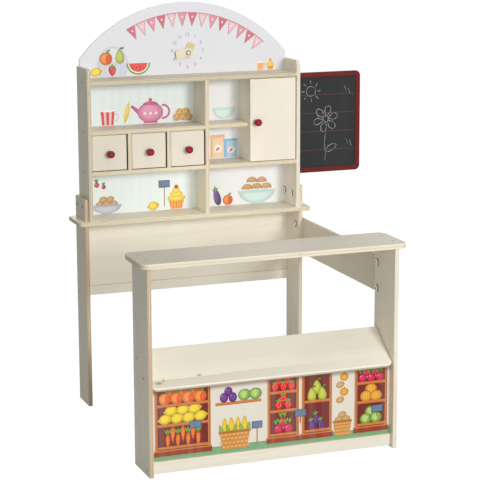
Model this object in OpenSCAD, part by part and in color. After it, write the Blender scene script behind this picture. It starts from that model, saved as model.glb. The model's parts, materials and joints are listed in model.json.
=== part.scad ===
// Toy market stall of birch plywood. A rear table carries a shelf unit with three drawers, a cupboard,
// open cubbies and an arched back wall with a clock. A front counter with a slanted display shelf stands
// before it, and a side rail bolts the two together. A framed slate hangs beside the shelf unit.
//
// Millimetres, +Z up, +X to the right, -Y towards the customer. Sizes below are counted from the middle
// of the shelf unit and from the legs' front edges, and place() then moves the stall so that the origin
// lies on the floor under the middle of its outline.

/* [Boards] */
// Thickness of the plywood boards
board_t = 10; // [9:0.5:12]
// Thickness of the back wall
back_t = 6; // [4:0.5:7]
// Thickness of the thin panels below the counters
panel_t = 4; // [3:0.5:5]

/* [Rear table] */
// Width over the outside of the shelf unit
shelf_w = 560; // [540:5:620]
// Depth of a leg board, front to rear
leg_depth = 85; // [82:1:100]
// Height of the rear counter's upper face above the floor
counter_h = 474; // [440:1:490]
// How far the legs rise above the rear counter
leg_rise = 54; // [48:1:64]
// How far the rear counter stands out past each leg
counter_side = 18; // [12:1:28]
// How far the rear counter stands out in front of the legs
counter_front = 15; // [12:1:22]
// How far the rear counter runs on behind the legs
counter_rear = 10; // [9:1:18]
// Radius of the rear counter's corners
counter_r = 12; // [4:1:14]
// Height of the rail along the apron panel's lower edge
apron_rail_h = 24; // [20:1:40]
// Height of the apron rail's lower edge above the floor
apron_z = 269; // [220:1:320]

/* [Shelf unit] */
// Height of the side panels
side_h = 376; // [366:1:400]
// How far the shelf unit stands out in front of the legs
shelf_front = 7.5; // [4:0.5:10]
// Height of the side panels above the top board
ear_h = 30; // [22:1:40]
// Radius of the side panels' upper front corners
ear_r = 12; // [4:1:18]
// Clear height of the two lowest compartments
lower_bay_h = 114; // [104:1:124]
// Clear height of the drawers' bay
drawer_bay_h = 90; // [80:1:96]
// How far the centre divider stands to the right of the middle
divider_x = 29; // [10:1:40]
// Clear width of the two cubbies beside the cupboard
cubby_w = 110; // [90:1:116]
// How far the cubby shelf's front edge is set back
cubby_setback = 13.5; // [12.5:0.5:20]
// How deep the back wall is let into each side panel
housing = 4; // [2:0.5:5]

/* [Sign and clock] */
// Height of the arch above the side panels
sign_rise = 150; // [120:1:180]
// Height above the side panels at which the arch starts
sign_shoulder = 16.5; // [10:0.5:25]
// Distance of the clock from the middle, to the right
clock_x = 8; // [-40:1:40]
// Height of the clock's pivot above the side panels
clock_rise = 23; // [20:1:40]
// Length of the minute hand from its pivot
minute_l = 33; // [28:1:38]
// Length of the hour hand from its pivot
hour_l = 26; // [20:1:30]
// Width of the clock hands
hand_w = 20.5; // [16:0.5:22]
// Distance from the pivot to the middle of a clock hand's round tail
hand_tail = 4; // [0:0.5:6]
// Corner radius at the end of a clock hand
hand_r = 5; // [2:0.5:7]
// Thickness of the clock hands
hand_t = 3; // [2:0.5:4]
// Diameter of the clock's pivot
pivot_d = 6; // [4:0.5:7]

/* [Drawers] */
// Gap at each side of a drawer
drawer_gap = 2; // [1:0.25:3]
// Share of that gap by which a drawer sits to the left
drawer_lean = 0.6; // [0:0.05:0.7]
// Gap below a drawer front
drawer_low = 1.5; // [1:0.25:2]
// Gap above a drawer front
drawer_high = 1.25; // [1:0.25:3]
// How far a drawer's knob sits below the middle of its front
drawer_knob_drop = 2; // [0:0.5:6]
// How far the drawer fronts are set back
drawer_setback = 1.5; // [0.5:0.25:3]
// Thickness of the drawers' sides and backs
drawer_side_t = 5; // [4:0.5:6]
// Thickness of the drawers' bottoms
drawer_bottom_t = 3; // [2.5:0.5:4]
// Height of the drawers' sides
drawer_side_h = 58; // [45:1:66]

/* [Cupboard door] */
// Gap at the door's hinge side
door_gap = 2.6; // [2.2:0.1:4]
// Gap above and below the door
door_gap_z = 1.4; // [1.2:0.1:2.5]
// Distance of the hinge pins from the door's right edge
pin_inset = 6; // [5.5:0.1:6.5]
// Diameter of the hinge pins
pin_d = 5; // [4:0.5:5]
// Distance of the knob from the door's left edge
door_knob_inset = 16.5; // [14.8:0.1:30]
// How far the knob sits below the door's middle
door_knob_drop = 4; // [0:0.5:10]

/* [Knobs] */
// Diameter of a knob
knob_d = 18; // [15:0.5:22]
// Length of a knob
knob_l = 18; // [16:0.5:20]
// Thickness of a knob's head
knob_head = 10.5; // [8:0.5:12]
// Rounding of the head's two rims
knob_rim = 2; // [1:0.25:3]
// Diameter of a knob's neck
knob_neck_d = 9; // [8:0.5:11]

/* [Front counter] */
// Height of the front counter's upper face above the floor
front_h = 490; // [474:1:510]
// Thickness of the front counter's top
front_t = 12; // [10:0.5:14]
// Width over the outside of the front counter's uprights
front_w = 604; // [570:1:640]
// Depth of an upright, front to rear
upright_depth = 110; // [106:1:130]
// Clear distance between the front counter and the rear table's legs
aisle = 468.5; // [420:0.5:520]
// How far the counter top stands out past each upright
front_side = 16; // [12:1:24]
// How far the counter top stands out before and behind the uprights
front_over = 15; // [10:1:22]
// Radius of the counter top's corners
front_r = 20; // [8:1:26]
// Tilt of the display shelf in degrees
display_tilt = 36; // [32:0.5:38]
// Length of the display shelf along its slope
display_l = 117; // [108:1:120]
// Height of the display shelf's upper rear edge above the floor
display_z = 272; // [255:1:290]
// How far the display shelf's rear edge is set in from the uprights' rear edges
display_inset = 13.5; // [11:0.5:15]
// Thickness of the display shelf
display_t = 12; // [10:0.5:14]
// Radius of the display shelf's front corners
display_r = 13; // [6:1:18]
// Height of the plinth board
plinth_h = 28; // [24:1:40]
// Gap between the plinth board and the floor
plinth_z = 5; // [2:0.5:12]
// How far the plinth board is set back from the uprights' front edges
plinth_setback = 11.5; // [8:0.5:16]

/* [Side rail] */
// Height of the side rail
rail_h = 90; // [84:1:110]
// Gap between the side rail's upper edge and the lower one of the two counters
rail_drop = 24.5; // [18:0.5:40]
// Distance of the rail's bolts from the upright's rear edge and from the rail's ends
rail_bolt_edge = 13; // [11:0.5:18]
// Distance of the rail's bolts from the leg's front edge
rail_bolt_leg = 22; // [14:0.5:40]

/* [Slate] */
// Width of the slate with its frame
slate_w = 218; // [190:1:240]
// Height of the slate with its frame
slate_h = 263; // [230:1:270]
// Height of the slate's lower edge above the legs' upper ends
slate_rise = 16.5; // [5:0.5:25]
// Width of the slate's frame
frame_w = 13; // [12:0.5:16]
// Thickness of the slate's frame
frame_t = 8; // [7:0.5:9]
// Thickness of the slate
slate_t = 3; // [2:0.5:4]

/* [Fasteners] */
// Diameter of the connector bolts
bolt_d = 6; // [5:0.5:6.5]
// Diameter of the connector bolts' heads
bolt_head_d = 17; // [14:0.5:18]
// Height of the connector bolts' heads
bolt_head_h = 4; // [3:0.25:5]
// Diameter of the threaded inserts
insert_d = 8.5; // [8:0.25:9.5]
// Diameter of the wood screws
screw_d = 3; // [2.5:0.25:3.5]
// Diameter of the wood screws' heads
screw_head_d = 6; // [5.5:0.25:6.5]
// Length of the wood screws
screw_l = 30; // [26:1:34]
// Diameter of the dowels through the centre divider
dowel_d = 6; // [5:0.5:7]

/* [Hidden] */
$fn = 64;

// Radial clearances of fixed pieces in their holes and of turning pins in their bores
fit = 0.05;
run = 0.06;
// Clearances between flat faces of fixed and of sliding pieces
seat = 0.1;
slip = 0.25;

// Faces across the stall
panel_out = shelf_w/2;
panel_in = panel_out - board_t;
leg_out = panel_out + board_t;
counter_half = leg_out + counter_side;
divider_l = divider_x - board_t/2;
divider_r = divider_x + board_t/2;
cubby_l = divider_r + cubby_w;
cubby_r = cubby_l + board_t;
front_x1 = leg_out;
front_x0 = front_x1 - front_w;
slate_x1 = panel_in + slate_w;

// Faces front to rear
shelf_y0 = -shelf_front;
shelf_y1 = leg_depth;
back_y = shelf_y1 - back_t;
upright_y1 = -aisle;
upright_y0 = upright_y1 - upright_depth;
front_y0 = upright_y0 - front_over;
front_y1 = upright_y1 + front_over;
counter_y1 = leg_depth + counter_rear;
door_y1 = shelf_y0 + board_t;
rail_y0 = upright_y1 - 2*rail_bolt_edge;
rail_y1 = rail_bolt_leg + rail_bolt_edge;

// Heights
side_top = counter_h + side_h;
rail_z = min(counter_h, front_h) - board_t - rail_drop - rail_h;
top_z = side_top - ear_h;
lower_z = counter_h + lower_bay_h + board_t;
upper_z = lower_z + drawer_bay_h + board_t;
leg_h = counter_h + leg_rise;
arch_top = side_top + sign_rise;
clock_z = side_top + clock_rise;
slate_z = leg_h + slate_rise;

// The outline's middle, which place() moves to the origin
outline_x0 = min(front_x0 - front_side, -counter_half);
outline_x1 = max(slate_x1, counter_half, front_x1 + board_t);
middle = [(outline_x0 + outline_x1)/2, (front_y0 + counter_y1)/2];

// The back wall's arch: a circle through both shoulders and the top
arch_half = panel_in + housing;
arch_rise = sign_rise - sign_shoulder;
arch_r = (arch_half*arch_half + arch_rise*arch_rise)/(2*arch_rise);

// The three drawers' bays
bay_w = (divider_l + panel_in - 2*board_t)/3;
function bay_x(i) = -panel_in + i*(bay_w + board_t);
drawer_w = bay_w - 2*drawer_gap;
drawer_y0 = shelf_y0 + drawer_setback;
drawer_box_y0 = drawer_y0 + board_t;
drawer_box_y1 = back_y - 3;
drawer_box_z = lower_z + slip;
drawer_front_z0 = lower_z + drawer_low;
drawer_front_z1 = lower_z + drawer_bay_h - drawer_high;
drawer_knob_z = (drawer_front_z0 + drawer_front_z1)/2 - drawer_knob_drop;
function drawer_x(i) = bay_x(i) + drawer_gap*(1 - drawer_lean);

// The cupboard door and its hinge pins
door_x0 = cubby_l;
door_x1 = panel_in - door_gap;
door_z0 = lower_z + door_gap_z;
door_z1 = top_z - board_t - door_gap_z;
pin_x = door_x1 - pin_inset;
pin_y = (shelf_y0 + door_y1)/2;
pin_reach = 6;
pin_hold = 16;
collar_d = pin_d + 4;
door_knob_x = door_x0 + door_knob_inset;
door_knob_z = (door_z0 + door_z1)/2 - door_knob_drop;

// The display shelf, measured along its slope from its front edge
display_y1 = upright_y1 - display_inset;
display_y0 = display_y1 - display_l*cos(display_tilt);
display_z0 = display_z - display_l*sin(display_tilt);
function display_point(s, depth) =
    [display_y0 + s*cos(display_tilt) + depth*sin(display_tilt),
     display_z0 + s*sin(display_tilt) - depth*cos(display_tilt)];
display_screw_inset = 18;
display_screw_gap = 60;
display_screws = [for (d = [display_screw_gap, 0]) display_l - display_screw_inset - d];

// The plinth board carries the front panel in a rebate along its upper rear edge, as the apron rail does
plinth_y0 = upright_y0 + plinth_setback;
plinth_y1 = plinth_y0 + board_t;
rebate_h = 12;
front_panel_y = plinth_y1 - panel_t;
front_panel_top = display_z - (display_y1 - front_panel_y)*tan(display_tilt)
    - display_t/cos(display_tilt) - 2*seat;
apron_y1 = leg_depth - 1;
apron_y0 = apron_y1 - board_t;
apron_panel_y = apron_y1 - panel_t;
groove = 4;

// Directions for what points along +Z by itself
up = [0, 0, 0];
down = [180, 0, 0];
east = [0, 90, 0];
west = [0, -90, 0];
to_front = [90, 0, 0];
to_rear = [-90, 0, 0];

// Wood screws: where each head lies and which way the screw points
mid_y = (shelf_y0 + back_y)/2;
shelf_mid = board_t/2;
divider_screw_x = [for (i = [1, 2]) bay_x(i) - board_t/2];
shelf_screw_at = concat(
    [for (z = [top_z, upper_z, lower_z]) [[-panel_out, mid_y, z - shelf_mid], east]],
    [for (z = [top_z, lower_z]) [[panel_out, mid_y, z - shelf_mid], west]],
    [for (x = [divider_x, cubby_l + shelf_mid]) [[x, mid_y, top_z], down]],
    [for (x = divider_screw_x) [[x, mid_y, upper_z], down]],
    [for (x = divider_screw_x) [[x, mid_y, lower_z - board_t], up]],
    [[[cubby_l + shelf_mid, mid_y, lower_z - board_t], up]],
    [[[cubby_r, mid_y, upper_z - shelf_mid], west]],
    [for (x = [-panel_in - shelf_mid, divider_x, panel_in + shelf_mid])
        [[x, mid_y + 10, counter_h - board_t], up]]);
apron_screw_at = [
    [[-leg_out, apron_panel_y - 2.5, apron_z + apron_rail_h/2], east],
    [[leg_out, apron_panel_y - 2.5, apron_z + apron_rail_h/2], west]];
top_screw_inset = 26;
upright_mids = [front_x0 + shelf_mid, front_x1 - shelf_mid];
display_screw_yz = [for (s = display_screws) display_point(s, display_t/2)];
plinth_screw_yz = [plinth_y0 + shelf_mid - 1.5, plinth_z + plinth_h/2 - 3];
end_screw_yz = concat(display_screw_yz, [plinth_screw_yz]);
counter_screw_at = concat(
    [for (x = upright_mids, y = [upright_y0 + top_screw_inset, upright_y1 - top_screw_inset])
        [[x, y, front_h], down]],
    [for (p = end_screw_yz) [[front_x0, p[0], p[1]], east]],
    [for (p = end_screw_yz) [[front_x1, p[0], p[1]], west]]);
slate_screw_x = panel_in + housing + (board_t - housing)/2;
slate_screw_inset = 36;
slate_screw_reach = slate_h/2 - slate_screw_inset;
slate_screw_at = [for (k = [-1, 0, 1])
    [[slate_screw_x, shelf_y1 + frame_t, slate_z + slate_h/2 + k*slate_screw_reach], to_front]];

// Connector bolts: where each head rests and which way the bolt points
leg_bolt_drop = 21;
leg_bolt_front = 24;
leg_bolt_rear = 15;
rail_bolt_inset = 13.5;
leg_bolt_z = leg_h - leg_bolt_drop;
leg_bolt_y = [leg_bolt_front, leg_depth - leg_bolt_rear];
rail_bolt_z = [rail_z + rail_bolt_inset, rail_z + rail_h - rail_bolt_inset];
rail_bolt_y = [rail_bolt_leg, upright_y1 - rail_bolt_edge];
panel_bolt_at = concat(
    [for (y = leg_bolt_y) [[-panel_in, y, leg_bolt_z], west]],
    [for (y = leg_bolt_y) [[panel_in, y, leg_bolt_z], east]]);
rail_bolt_at = [for (y = rail_bolt_y, z = rail_bolt_z) [[panel_out, y, z], east]];
bolt_at = concat(panel_bolt_at, rail_bolt_at);
bolt_l = 2*board_t - 2;

// Dowels that join the shelves at both sides of the centre divider
dowel_reach = 12;
dowel_inset = 25;
dowel_l = board_t + 2*dowel_reach;
dowel_y = [dowel_inset, leg_depth - dowel_inset];
dowel_at = [for (z = [upper_z, lower_z], y = dowel_y) [divider_x - dowel_l/2, y, z - shelf_mid]];

birch = [0.89, 0.83, 0.71];
birch_shade = [0.84, 0.77, 0.64];
print_white = [0.93, 0.94, 0.95];
print_cream = [0.93, 0.87, 0.72];
red = [0.74, 0.09, 0.11];
frame_red = [0.52, 0.16, 0.16];
slate_grey = [0.21, 0.22, 0.23];
steel = [0.72, 0.73, 0.75];

// Shared shapes

module place() {
    translate([-middle[0], -middle[1], 0])
        children();
}

// A board from one corner to the opposite one
module board(lo, hi) {
    translate(lo)
        cube(hi - lo);
}

module each_at(list) {
    for (a = list)
        translate(a[0])
            rotate(a[1])
                children();
}

// A rectangle from the origin with all its corners rounded
module rounded_rect(w, h, r) {
    translate([r, 0])
        square([w - 2*r, h]);
    translate([0, r])
        square([w, h - 2*r]);
    for (x = [r, w - r], y = [r, h - r])
        translate([x, y])
            circle(r);
}

// A rectangle from the origin with rounded corners along its lower edge only
module rounded_front(w, h, r) {
    translate([r, 0])
        square([w - 2*r, h]);
    translate([0, r])
        square([w, h - r]);
    for (x = [r, w - r])
        translate([x, r])
            circle(r);
}

// Stands a flat shape up across the stall, between two depths
module stand_across(y0, y1) {
    translate([0, y1, 0])
        rotate([90, 0, 0])
            linear_extrude(y1 - y0)
                children();
}

// Stands a flat shape up along the stall's depth, between two sides
module stand_along(x0, x1) {
    translate([x0, 0, 0])
        rotate([90, 0, 90])
            linear_extrude(x1 - x0)
                children();
}

// A countersunk wood screw whose head lies flush, pointing along +Z
screw_cone = (screw_head_d - screw_d)/2;
module wood_screw() {
    difference() {
        union() {
            cylinder(d1 = screw_head_d, d2 = screw_d, h = screw_cone);
            translate([0, 0, screw_cone])
                cylinder(d = screw_d, h = screw_l - screw_cone - 3);
            translate([0, 0, screw_l - 3])
                cylinder(d1 = screw_d, d2 = 1, h = 3);
        }
        for (a = [0, 90])
            rotate(a)
                translate([-1.6, -0.4, -1])
                    cube([3.2, 0.8, 2]);
    }
}

module wood_screw_hole() {
    translate([0, 0, -1])
        cylinder(d = screw_head_d + 2*fit, h = 1 + fit);
    translate([0, 0, fit])
        cylinder(d1 = screw_head_d + 2*fit, d2 = screw_d + 2*fit, h = screw_cone);
    cylinder(d = screw_d + 2*fit, h = screw_l + 0.5);
}

// A connector bolt with a flat round head and a hexagon socket; the head's underside is at the origin
module connector_bolt() {
    rim = 1;
    difference() {
        union() {
            cylinder(d = bolt_d, h = bolt_l);
            translate([0, 0, -bolt_head_h + rim])
                cylinder(d = bolt_head_d, h = bolt_head_h - rim);
            translate([0, 0, -bolt_head_h])
                cylinder(d1 = bolt_head_d - 2*rim, d2 = bolt_head_d, h = rim);
        }
        translate([0, 0, -bolt_head_h - 1])
            cylinder(d = 4.6, h = 3.5, $fn = 6);
    }
}

module bolt_hole() {
    translate([0, 0, -1])
        cylinder(d = bolt_d + 2*fit, h = board_t + 2);
}

// The hole for a threaded insert, in the board behind the first one
module insert_hole() {
    translate([0, 0, board_t - 1])
        cylinder(d = insert_d + 2*fit, h = board_t + 2);
}

module threaded_insert() {
    translate([0, 0, board_t + 0.5])
        difference() {
            cylinder(d = insert_d, h = board_t - 1.5);
            translate([0, 0, -1])
                cylinder(d = bolt_d + 2*fit, h = board_t + 2);
        }
}

// A turned knob along +Z, with the pilot hole for its screw
module knob() {
    color(red)
        difference() {
            rotate_extrude() {
                square([knob_neck_d/2, knob_l - knob_rim]);
                translate([0, knob_l - knob_head])
                    square([knob_d/2 - knob_rim, knob_head]);
                translate([0, knob_l - knob_head + knob_rim])
                    square([knob_d/2, knob_head - 2*knob_rim]);
                for (z = [knob_l - knob_head + knob_rim, knob_l - knob_rim])
                    translate([knob_d/2 - knob_rim, z])
                        circle(knob_rim);
            }
            translate([0, 0, -1])
                cylinder(d = screw_d + 2*fit, h = 9.5);
        }
}

// A knob's screw along +Z, with its head behind the origin and its shank through the front board
module knob_screw() {
    color(steel) {
        cylinder(d = screw_d, h = board_t + 8);
        translate([0, 0, -2])
            cylinder(d = screw_head_d, h = 2);
    }
}

module knob_screw_hole() {
    translate([0, 0, -1])
        cylinder(d = screw_d + 2*fit, h = board_t + 2);
}

module dowel_holes() {
    for (p = dowel_at)
        translate(p - [0.1, 0, 0])
            rotate(east)
                cylinder(d = dowel_d + 2*fit, h = dowel_l + 0.2);
}

// Rear table

module leg(x0) {
    color(birch_shade)
        place()
            difference() {
                board([x0, 0, 0], [x0 + board_t, leg_depth, leg_h]);
                each_at(panel_bolt_at)
                    insert_hole();
                each_at(rail_bolt_at)
                    bolt_hole();
                each_at(apron_screw_at)
                    wood_screw_hole();
            }
}

module left_leg() {
    leg(-leg_out);
}

module right_leg() {
    leg(panel_out);
}

module rear_counter() {
    color(birch)
        place()
            difference() {
                translate([-counter_half, -counter_front, counter_h - board_t])
                    linear_extrude(board_t)
                        rounded_rect(2*counter_half, counter_front + counter_y1, counter_r);
                for (x = [-leg_out, panel_out])
                    board([x - seat, -seat, counter_h - board_t - 1],
                        [x + board_t + seat, leg_depth + seat, counter_h + 1]);
                board([-panel_out, apron_panel_y - seat, counter_h - board_t - 1],
                    [panel_out, apron_y1 + seat, counter_h - board_t + groove]);
                each_at(shelf_screw_at)
                    wood_screw_hole();
            }
}

module apron_panel() {
    color(birch)
        place()
            board([-panel_out + seat, apron_panel_y, apron_z + apron_rail_h - rebate_h],
                [panel_out - seat, apron_y1, counter_h - board_t + groove - seat]);
}

// A rail with a rebate along its upper rear edge for a thin panel
module rebated_rail(x0, x1, y0, z0, h) {
    difference() {
        board([x0, y0, z0], [x1, y0 + board_t, z0 + h]);
        board([x0 - 1, y0 + board_t - panel_t - seat, z0 + h - rebate_h - seat],
            [x1 + 1, y0 + board_t + 1, z0 + h + 1]);
    }
}

module apron_rail() {
    color(birch_shade)
        place()
            difference() {
                rebated_rail(-panel_out, panel_out, apron_y0, apron_z, apron_rail_h);
                each_at(apron_screw_at)
                    wood_screw_hole();
            }
}

module apron_screws() {
    color(steel)
        place()
            each_at(apron_screw_at)
                wood_screw();
}

module connector_bolts() {
    color(birch)
        place()
            each_at(bolt_at)
                connector_bolt();
}

module connector_inserts() {
    color(steel)
        place()
            each_at(bolt_at)
                threaded_insert();
}

// Shelf unit

// A side panel: rounded at its upper front corner, rebated along its inner rear edge for the back wall
module side_panel(x0, rebate_x) {
    color(birch)
        place()
            difference() {
                stand_along(x0, x0 + board_t)
                    translate([shelf_y0, counter_h]) {
                        square([shelf_y1 - shelf_y0, side_h - ear_r]);
                        translate([ear_r, 0])
                            square([shelf_y1 - shelf_y0 - ear_r, side_h]);
                        translate([ear_r, side_h - ear_r])
                            circle(ear_r);
                    }
                board([rebate_x, back_y - seat, counter_h - 1],
                    [rebate_x + housing + seat, shelf_y1 + 1, side_top + 1]);
                each_at(panel_bolt_at)
                    bolt_hole();
                each_at(shelf_screw_at)
                    wood_screw_hole();
                each_at(slate_screw_at)
                    wood_screw_hole();
            }
}

module left_side_panel() {
    side_panel(-panel_out, -panel_in - housing - seat);
}

module right_side_panel() {
    side_panel(panel_in, panel_in);
}

// A board of the shelf unit, up to the back wall, with the holes of the screws and dowels that meet it
module unit_board(x0, x1, y0, z0, z1) {
    color(birch)
        place()
            difference() {
                board([x0, y0, z0], [x1, back_y, z1]);
                each_at(shelf_screw_at)
                    wood_screw_hole();
                dowel_holes();
            }
}

// The hinge pins' bores, in the boards above and below the door
module pin_bores() {
    translate([pin_x, pin_y, door_z0 - door_gap_z - pin_reach - 0.5])
        cylinder(d = pin_d + 2*run, h = door_z1 - door_z0 + 2*door_gap_z + 2*pin_reach + 1);
}

module top_board() {
    difference() {
        unit_board(-panel_in, panel_in, shelf_y0, top_z - board_t, top_z);
        place()
            pin_bores();
    }
}

module centre_divider() {
    unit_board(divider_l, divider_r, shelf_y0, counter_h, top_z - board_t);
}

module drawer_top_shelf() {
    unit_board(-panel_in, divider_l, shelf_y0, upper_z - board_t, upper_z);
}

module drawer_bottom_shelf() {
    unit_board(-panel_in, divider_l, shelf_y0, lower_z - board_t, lower_z);
}

// Drawer dividers are counted from the left, starting at 1
module drawer_divider(i) {
    unit_board(bay_x(i) - board_t, bay_x(i), shelf_y0, lower_z, upper_z - board_t);
}

// The cubby divider stands behind the door, which closes against its front edge
module cubby_divider() {
    unit_board(cubby_l, cubby_r, door_y1 + slip, lower_z, top_z - board_t);
}

module cubby_shelf() {
    unit_board(divider_r, cubby_l, shelf_y0 + cubby_setback, upper_z - board_t, upper_z);
}

module cupboard_floor() {
    difference() {
        unit_board(divider_r, panel_in, shelf_y0, lower_z - board_t, lower_z);
        place()
            pin_bores();
    }
}

module back_wall() {
    color(print_white)
        place()
            difference() {
                stand_across(back_y, shelf_y1) {
                    translate([-arch_half, counter_h])
                        square([2*arch_half, side_h + sign_shoulder]);
                    intersection() {
                        translate([0, arch_top - arch_r])
                            circle(arch_r, $fn = 180);
                        translate([-arch_half, side_top + sign_shoulder - 1])
                            square([2*arch_half, arch_rise + 2]);
                    }
                }
                translate([clock_x, back_y - 1, clock_z])
                    rotate(to_rear)
                        cylinder(d = pivot_d + 2*fit, h = back_t + 2);
            }
}

module shelf_screws() {
    color(steel)
        place()
            each_at(shelf_screw_at)
                wood_screw();
}

module shelf_dowels() {
    color(birch_shade)
        place()
            for (p = dowel_at)
                translate(p)
                    rotate(east)
                        cylinder(d = dowel_d, h = dowel_l);
}

// Clock

// A hand with a round tail and rounded corners at its other end, that lies flat and points along +X
module hand(l) {
    difference() {
        linear_extrude(hand_t) {
            translate([-hand_tail, 0])
                circle(d = hand_w);
            translate([-hand_tail, -hand_w/2])
                square([hand_tail + l - hand_r, hand_w]);
            translate([0, hand_r - hand_w/2])
                square([l, hand_w - 2*hand_r]);
            for (side = [-1, 1])
                translate([l - hand_r, side*(hand_w/2 - hand_r)])
                    circle(r = hand_r);
        }
        translate([0, 0, -1])
            cylinder(d = pivot_d + 2*run, h = hand_t + 2);
    }
}

hand_gap = 0.3;
module clock_hand(l, angle, level) {
    color(birch_shade)
        place()
            translate([clock_x, back_y - hand_gap - level*(hand_t + hand_gap), clock_z])
                rotate(to_front)
                    rotate(angle)
                        hand(l);
}

module hour_hand() {
    clock_hand(hour_l, 64, 0);
}

module minute_hand() {
    clock_hand(minute_l, 188, 1);
}

pivot_head_h = 2;
pivot_stack = 2*hand_t + 3*hand_gap;
module clock_pivot() {
    color(steel)
        place()
            translate([clock_x, shelf_y1 + 6, clock_z])
                rotate(to_front) {
                    cylinder(d = pivot_d, h = 6 + back_t + pivot_stack + 0.1);
                    translate([0, 0, 6 + back_t + pivot_stack])
                        difference() {
                            cylinder(d = pivot_d + 7, h = pivot_head_h);
                            translate([0, 0, pivot_head_h - 1])
                                cylinder(d = pivot_d - 1, h = 2);
                        }
                }
}

module clock_nut() {
    color(steel)
        place()
            translate([clock_x, shelf_y1, clock_z])
                rotate(to_rear)
                    difference() {
                        union() {
                            cylinder(d = 2*pivot_d, h = 1);
                            cylinder(d = 1.8*pivot_d, h = 5, $fn = 6);
                        }
                        translate([0, 0, -1])
                            cylinder(d = pivot_d + 2*fit, h = 7);
                    }
}

// Cupboard door

module cupboard_door() {
    color(birch)
        place()
            difference() {
                board([door_x0, shelf_y0, door_z0], [door_x1, door_y1, door_z1]);
                for (z = [door_z0 - 1, door_z1 - pin_hold])
                    translate([pin_x, pin_y, z])
                        cylinder(d = pin_d + 2*fit, h = pin_hold + 1);
                translate([door_knob_x, door_y1, door_knob_z])
                    rotate(to_front)
                        knob_screw_hole();
            }
}

module door_knob() {
    place()
        translate([door_knob_x, shelf_y0, door_knob_z])
            rotate(to_front)
                knob();
}

module door_knob_screw() {
    place()
        translate([door_knob_x, door_y1, door_knob_z])
            rotate(to_front)
                knob_screw();
}

// Each pin is held in the door, and its collar keeps the door off the board that it turns in
module door_pins() {
    color(steel)
        place()
            for (side = [0, 1])
                translate([pin_x, pin_y, side == 0 ? door_z0 : door_z1])
                    rotate(side == 0 ? down : up) {
                        translate([0, 0, -pin_hold + 0.5])
                            cylinder(d = pin_d, h = pin_hold - 0.5 + door_gap_z + pin_reach);
                        cylinder(d = collar_d, h = door_gap_z - slip);
                    }
}

// Drawers, counted from the left, starting at 0

module drawer_front(i) {
    color(birch)
        place()
            difference() {
                board([drawer_x(i), drawer_y0, drawer_front_z0],
                    [drawer_x(i) + drawer_w, drawer_box_y0, drawer_front_z1]);
                translate([drawer_x(i) + drawer_w/2, drawer_box_y0, drawer_knob_z])
                    rotate(to_front)
                        knob_screw_hole();
            }
}

module drawer_sides(i) {
    color(birch_shade)
        place()
            for (x = [drawer_x(i), drawer_x(i) + drawer_w - drawer_side_t])
                board([x, drawer_box_y0, drawer_box_z + drawer_bottom_t],
                    [x + drawer_side_t, drawer_box_y1, drawer_box_z + drawer_bottom_t + drawer_side_h]);
}

module drawer_back(i) {
    color(birch_shade)
        place()
            board([drawer_x(i) + drawer_side_t, drawer_box_y1 - drawer_side_t,
                    drawer_box_z + drawer_bottom_t],
                [drawer_x(i) + drawer_w - drawer_side_t, drawer_box_y1,
                    drawer_box_z + drawer_bottom_t + drawer_side_h]);
}

module drawer_bottom(i) {
    color(birch_shade)
        place()
            board([drawer_x(i), drawer_box_y0, drawer_box_z],
                [drawer_x(i) + drawer_w, drawer_box_y1, drawer_box_z + drawer_bottom_t]);
}

module drawer_knob(i) {
    place()
        translate([drawer_x(i) + drawer_w/2, drawer_y0, drawer_knob_z])
            rotate(to_front)
                knob();
}

module drawer_knob_screw(i) {
    place()
        translate([drawer_x(i) + drawer_w/2, drawer_box_y0, drawer_knob_z])
            rotate(to_front)
                knob_screw();
}

// Front counter

module counter_top() {
    color(birch)
        place()
            difference() {
                translate([front_x0 - front_side, front_y0, front_h - front_t])
                    linear_extrude(front_t)
                        rounded_rect(front_w + 2*front_side, upright_depth + 2*front_over, front_r);
                each_at(counter_screw_at)
                    wood_screw_hole();
            }
}

module upright(x0) {
    color(birch_shade)
        place()
            difference() {
                board([x0, upright_y0, 0], [x0 + board_t, upright_y1, front_h - front_t]);
                each_at(counter_screw_at)
                    wood_screw_hole();
                each_at(rail_bolt_at)
                    bolt_hole();
            }
}

module counter_left_upright() {
    upright(front_x0);
}

module counter_right_upright() {
    upright(front_x1 - board_t);
}

module display_shelf() {
    color(birch)
        place()
            difference() {
                translate([front_x0 + board_t, display_y0, display_z0])
                    rotate([display_tilt, 0, 0])
                        translate([0, 0, -display_t])
                            linear_extrude(display_t)
                                rounded_front(front_w - 2*board_t, display_l, display_r);
                each_at(counter_screw_at)
                    wood_screw_hole();
            }
}

module front_panel() {
    color(print_cream)
        place()
            board([front_x0 + board_t + seat, front_panel_y, plinth_z + plinth_h - rebate_h],
                [front_x1 - board_t - seat, plinth_y1, front_panel_top]);
}

module plinth_board() {
    color(birch)
        place()
            difference() {
                rebated_rail(front_x0 + board_t, front_x1 - board_t, plinth_y0, plinth_z, plinth_h);
                each_at(counter_screw_at)
                    wood_screw_hole();
            }
}

module counter_screws() {
    color(steel)
        place()
            each_at(counter_screw_at)
                wood_screw();
}

module side_rail() {
    color(birch)
        place()
            difference() {
                board([front_x1, rail_y0, rail_z], [front_x1 + board_t, rail_y1, rail_z + rail_h]);
                each_at(rail_bolt_at)
                    insert_hole();
            }
}

// Slate

slate_lap = 4;
module slate_frame() {
    color(frame_red)
        place()
            difference() {
                translate([panel_in, 0, slate_z])
                    stand_across(shelf_y1, shelf_y1 + frame_t)
                        difference() {
                            rounded_rect(slate_w, slate_h, frame_w);
                            translate([frame_w, frame_w])
                                square([slate_w - 2*frame_w, slate_h - 2*frame_w]);
                        }
                slate_board(seat);
                each_at(slate_screw_at)
                    wood_screw_hole();
            }
}

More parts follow.
